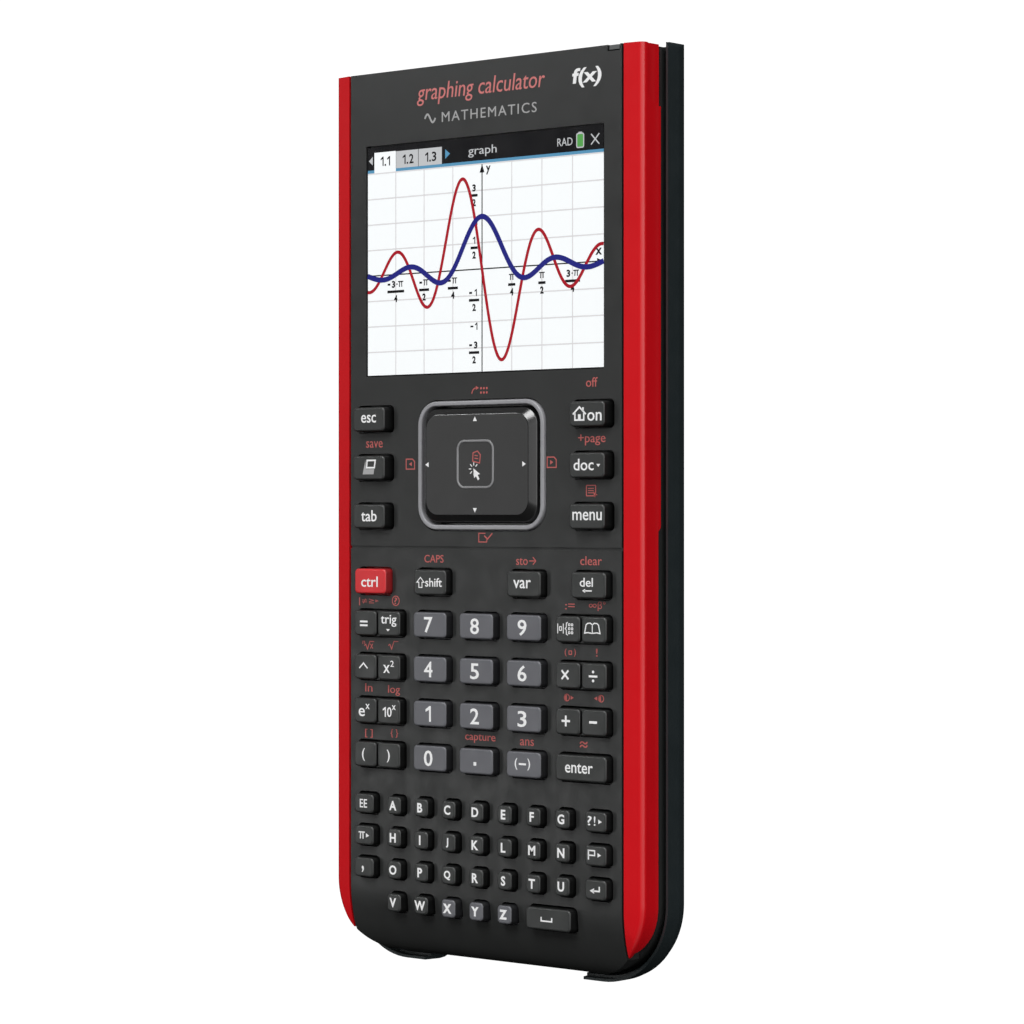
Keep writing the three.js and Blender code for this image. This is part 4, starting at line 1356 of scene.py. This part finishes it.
def make_pad_marks(x, y, top):
    """The raised outline in the pad's middle, its four arrowheads, and the two marks inside the outline."""
    ridge = [(0.5, top - 0.05), (0, top - 0.05)] + round_top(0, 0.5, top + 0.16, 0.15, 3)
    outline = as_object("pad_outline", swept_frame((x - 1.1, y + 0.2), (10.2, 10.1), 2.0, ridge, 8))
    fix_normals(outline)
    piece(smooth(outline, 60), PAD_RIDGE, "touchpad")
    white = Print(top).at(x, y)
    for dx, dy, turn in ((-1.2, 9.4, 90), (-1.2, -9.2, 270), (12.0, 0.1, 0), (-14.4, 0.2, 180)):
        white.fill(arc(dx, dy, 0.62, turn, turn + 240, 2))
    white.at(x - 1.5, y - 0.8)
    for turn in range(45, 300, 45):
        a = math.radians(turn)
        white.line([(r * math.cos(a), r * math.sin(a)) for r in (0.7, 1.35)], 0.2)
    pointer = [(-0.1, 0.1), (0.1, -1.9), (0.6, -1.5)]
    pointer += [(1.15, -2.35), (1.55, -2.05), (1.05, -1.25), (1.7, -1.05)]
    white.fill(pointer)
    white.build("pad_marks", LEGEND_WHITE, "touchpad")
    red = Print(top).at(x, y)
    red.line([(-1.8, 0.8), (0.1, 0.4), (0.3, 2.1), (-0.5, 2.9), (-1.7, 2.5)], 0.22, closed=True)
    red.line([(-1.3, 1.4), (-0.3, 1.3)], 0.2)
    red.line([(-1.3, 2.0), (-0.4, 1.9)], 0.2)
    red.build("pad_red_mark", LEGEND_RED, "touchpad")


# ---------------------------------------------------------------- case screws


def make_case_screws():
    """The heads of the screws that hold the case together, on the back under the cover."""
    face = REAR.low.z
    levels = [(SCREW_HEAD - 0.15, face - 0.15), (SCREW_HEAD, face - 0.05), (SCREW_HEAD, face + 0.6)]
    heads = []
    slots = []
    for x, y in SCREW_SPOTS:
        heads.append(stack([level(arc(x, y, radius, 0, 360, 24, whole=True), z) for radius, z in levels]))
        for reach_x, reach_y in ((1.1, 0.22), (0.22, 1.1)):
            slots.append(block(x - reach_x, x + reach_x, y - reach_y, y + reach_y, face - 1, face + 0.4))
    screws = as_object("case_screws", merge(heads))
    cut(screws, *slots)
    piece(smooth(screws, 30), STEEL)


# ---------------------------------------------------------------- screen picture

SHEET = 0.02  # thickness of one printed layer of the screen
TITLE_BAR = 4.87
AXIS_Y = -3.07
BLUE_LINE = 0.65
GRID_X = 8.1
GRID_Y = 5.43
UNIT_X = GRID_X * 4 / math.pi
UNIT_Y = GRID_Y * 2
PLOT_STEPS = 260
AXIS_WIDTH = 0.26
AXIS_ARROW = (0.65, 1.7)  # half width and length
GRID_WIDTH = 0.3
FIGURE_HEIGHT = 1.5


def layer(order):
    """One layer of the screen picture, just over the window, drawn from the screen's middle."""
    return Print(WINDOW.high.z + order * SHEET, ink=SHEET).at(*WINDOW.center)


def wave(x):
    return math.sin(4 * x) / (4 * x) if abs(x) > 1e-6 else 1.0


def wave_slope(x):
    return math.cos(4 * x) / x - math.sin(4 * x) / (4 * x * x) if abs(x) > 1e-4 else 0.0


def screen_shape(order, name, material, *outlines):
    shape = layer(order)
    shape.fill(*outlines)
    shape.build(name, material)


def make_screen():
    half_w, half_l = SCREEN_SIZE[0] / 2, SCREEN_SIZE[1] / 2
    title_low = half_l - TITLE_BAR
    make_title_bar(half_w, title_low, half_l)
    low, high = -half_l, title_low - BLUE_LINE
    screen_shape(0, "screen_page", SCREEN_WHITE, rectangle(-half_w, half_w, low, high))
    make_axes(half_w, low, high)
    make_grid(half_w, low, high)
    make_curves(half_w)


def make_title_bar(half_w, low, high):
    screen_shape(0, "screen_title_bar", SCREEN_DARK, rectangle(-half_w, half_w, low, high))
    screen_shape(0, "screen_blue_line", SCREEN_BLUE, rectangle(-half_w, half_w, low - BLUE_LINE, low))
    next_arrow = [(-10.25, low + 1.0), (-8.9, low + 2.0), (-10.25, low + 3.0)]
    screen_shape(1, "screen_next_tab", SCREEN_BLUE, next_arrow)
    screen_shape(1, "screen_open_tab", SCREEN_WHITE, rectangle(-30.5, -24.3, low - BLUE_LINE, low + 3.7))
    tabs = [rectangle(-24.2, -17.9, low, low + 3.6), rectangle(-17.75, -11.2, low, low + 3.6)]
    last_arrow = [(-31.0, low + 1.1), (-31.0, low + 2.9), (-32.1, low + 2.0)]
    screen_shape(1, "screen_tabs", SCREEN_GREY, *tabs, last_arrow)
    black = layer(2)
    for i, tab_x in enumerate((-27.3, -20.75, -14.3)):
        black.figures(f"1.{i + 1}", tab_x, low + 1.75, 2.0, bold=0.02)
    black.build("screen_tab_names", SCREEN_DARK)
    white = layer(2)
    white.text("graph", 0.1, low + 1.9, 7.8, 2.3, bold=0)
    white.text("RAD", 22.3, low + 2.1, 4.0, 1.6, bold=0)
    white.fill(cross(30.2, low + 2.1, 1.5, 0.26, 45))
    battery = (26.3, low + 2.1)
    white.line(rounded(battery, (1.8, 2.8), 0.3, 2), 0.25, closed=True)
    white.fill(bar(battery[0], low + 3.7, 0.9, 0.25))
    white.build("screen_title", SCREEN_GREY)
    screen_shape(2, "screen_battery", SCREEN_GREEN, rounded(battery, (1.5, 2.5), 0.2, 2))


def make_axes(half_w, low, high):
    """The axes with their arrowheads and names, and the fractions beside them."""
    black = layer(2)
    top = high - 0.2
    black.line([(-half_w, AXIS_Y), (half_w, AXIS_Y)], AXIS_WIDTH)
    black.line([(0, low), (0, top)], AXIS_WIDTH)
    half, length = AXIS_ARROW
    black.fill([(-half, top - length), (half, top - length), (0, top)])
    black.fill([(half_w - length, AXIS_Y - half), (half_w, AXIS_Y), (half_w - length, AXIS_Y + half)])
    black.text("x", half_w - 1.3, AXIS_Y + 2.0, height=1.4, bold=0.02)
    black.text("y", 1.7, top - 1.3, height=1.8, bold=0.02)
    beside = AXIS_Y - 0.95
    for sign in (-1, 1):
        for count, (over, under) in enumerate((("π", "4"), ("π", "2"), ("3·π", "4")), 1):
            fraction(black, over, under, sign * count * GRID_X, AXIS_Y - 3.6, sign)
        fraction(black, "3", "2", -2.2, beside + sign * 3 * GRID_Y, sign)
        fraction(black, "1", "2", -2.2, beside + sign * GRID_Y, sign)
        black.figures("1", -1.6, beside + sign * 2 * GRID_Y, FIGURE_HEIGHT)
    black.fill(bar(-2.8, beside - 2 * GRID_Y, 0.8, 0.34))
    black.build("screen_axes", SCREEN_DARK)


def fraction(ink, over, under, x, y, sign):
    """A fraction of pi or of one, with a minus sign in its upper part where sign is negative."""
    width = (3.9 if over == "3·π" else 1.9) + (0.9 if sign < 0 else 0)
    ink.fill(bar(x, y, width, 0.55))
    shift = 0.45 if sign < 0 else 0
    high = y + 1.55
    if over == "3·π":
        ink.figures("3", x + shift - 1.1, high, FIGURE_HEIGHT, bold=0.04)
        ink.fill(bar(x + shift - 0.1, high, 0.3, 0.3))
    if over.endswith("π"):
        pi_sign(ink, x + shift + (0.95 if len(over) > 1 else 0), high, 1.25)
    else:
        ink.figures(over, x + shift, high, FIGURE_HEIGHT, bold=0.04)
    ink.figures(under, x, y - 1.5, FIGURE_HEIGHT, bold=0.04)
    if sign < 0:
        ink.fill(bar(x - width / 2 + 0.45, high, 0.75, 0.42))


def make_grid(half_w, low, high):
    grid = layer(1)
    for count in (-4, -3, -2, -1, 1, 2, 3, 4):
        x, y = count * GRID_X, AXIS_Y + count * GRID_Y
        if abs(x) < half_w:
            grid.line([(x, low), (x, high)], GRID_WIDTH)
        if low < y < high:
            grid.line([(-half_w, y), (half_w, y)], GRID_WIDTH)
    grid.build("screen_grid", SCREEN_LINE, slot="screen_grey")


def make_curves(half_w):
    xs = [-half_w + 2 * half_w * i / PLOT_STEPS for i in range(PLOT_STEPS + 1)]
    for order, formula, width, name, material in (
        (3, wave_slope, 0.7, "screen_slope_curve", PLOT_RED),
        (4, wave, 1.1, "screen_wave_curve", PLOT_BLUE),
    ):
        curve = layer(order)
        curve.line([(x, AXIS_Y + UNIT_Y * formula(x / UNIT_X)) for x in xs], width)
        curve.build(name, material)


# ---------------------------------------------------------------- carried CAD pieces

CARRIED = {
    "slide_cover": COVER_BLACK,
    "rear_case": CASE_BLACK,
    "display_window": WINDOW_GLASS,
    "lcd_panel": SCREEN_DARK,
    "backlight_frame": STEEL,
    "main_circuit_board": BOARD_GREEN,
    "dome_sheet": SILICONE,
    "battery_pack": BATTERY_WRAP,
    "battery_door": CASE_BLACK,
    "battery_door_screw": STEEL,
    "usb_socket": STEEL,
    "dock_connector": CONNECTOR_BLACK,
    "status_light_pipe": LIGHT_PIPE,
}
COVER_EDGE = 0.35


def carry_pieces():
    """Keeps the shapes of CAD pieces and gives them their finish; the cover's edges are softened too."""
    for name, material in CARRIED.items():
        thing = nodes[name]
        thing.data.materials.clear()
        thing.data.materials.append(material)
        if name == "slide_cover":
            flat = thing.modifiers.new("flat faces", "DECIMATE")
            flat.decimate_type = "DISSOLVE"
            flat.angle_limit = math.radians(0.5)
            soft_edges(thing, COVER_EDGE * MM, 35, 3)
        smooth(thing, 35)


# ---------------------------------------------------------------- the whole scene


def make_floor():
    """A white sweep that glows evenly, so it shows no shadow; it lights and reflects nothing."""
    size = FLOOR_SIZE
    floor = as_object("floor", block(-size, size, -size, size, -10, 0))
    floor.data.transform(Matrix.Scale(MM, 4))
    made, tree, bsdf = shader("floor_white")
    glow = blend_colors(tree, spread(tree, noise(tree, 400), 0, 1), (0.99, 0.99, 0.99), (1, 1, 1))
    finish = {"Base Color": (0.02, 0.02, 0.02, 1), "Roughness": 0.9}
    feed(tree, bsdf, {**finish, "Emission Color": glow, "Emission Strength": 1.05})
    floor.data.materials.append(made)
    floor.visible_diffuse = False
    floor.visible_glossy = False


make_camera()
make_lights()
make_studio()
make_floor()
make_front_case()
make_trim(1, "right_side_trim")
make_trim(-1, "left_side_trim")
make_keys()
make_key_legends()
make_face_print()
make_ring()
make_touchpad()
make_case_screws()
make_screen()
carry_pieces()
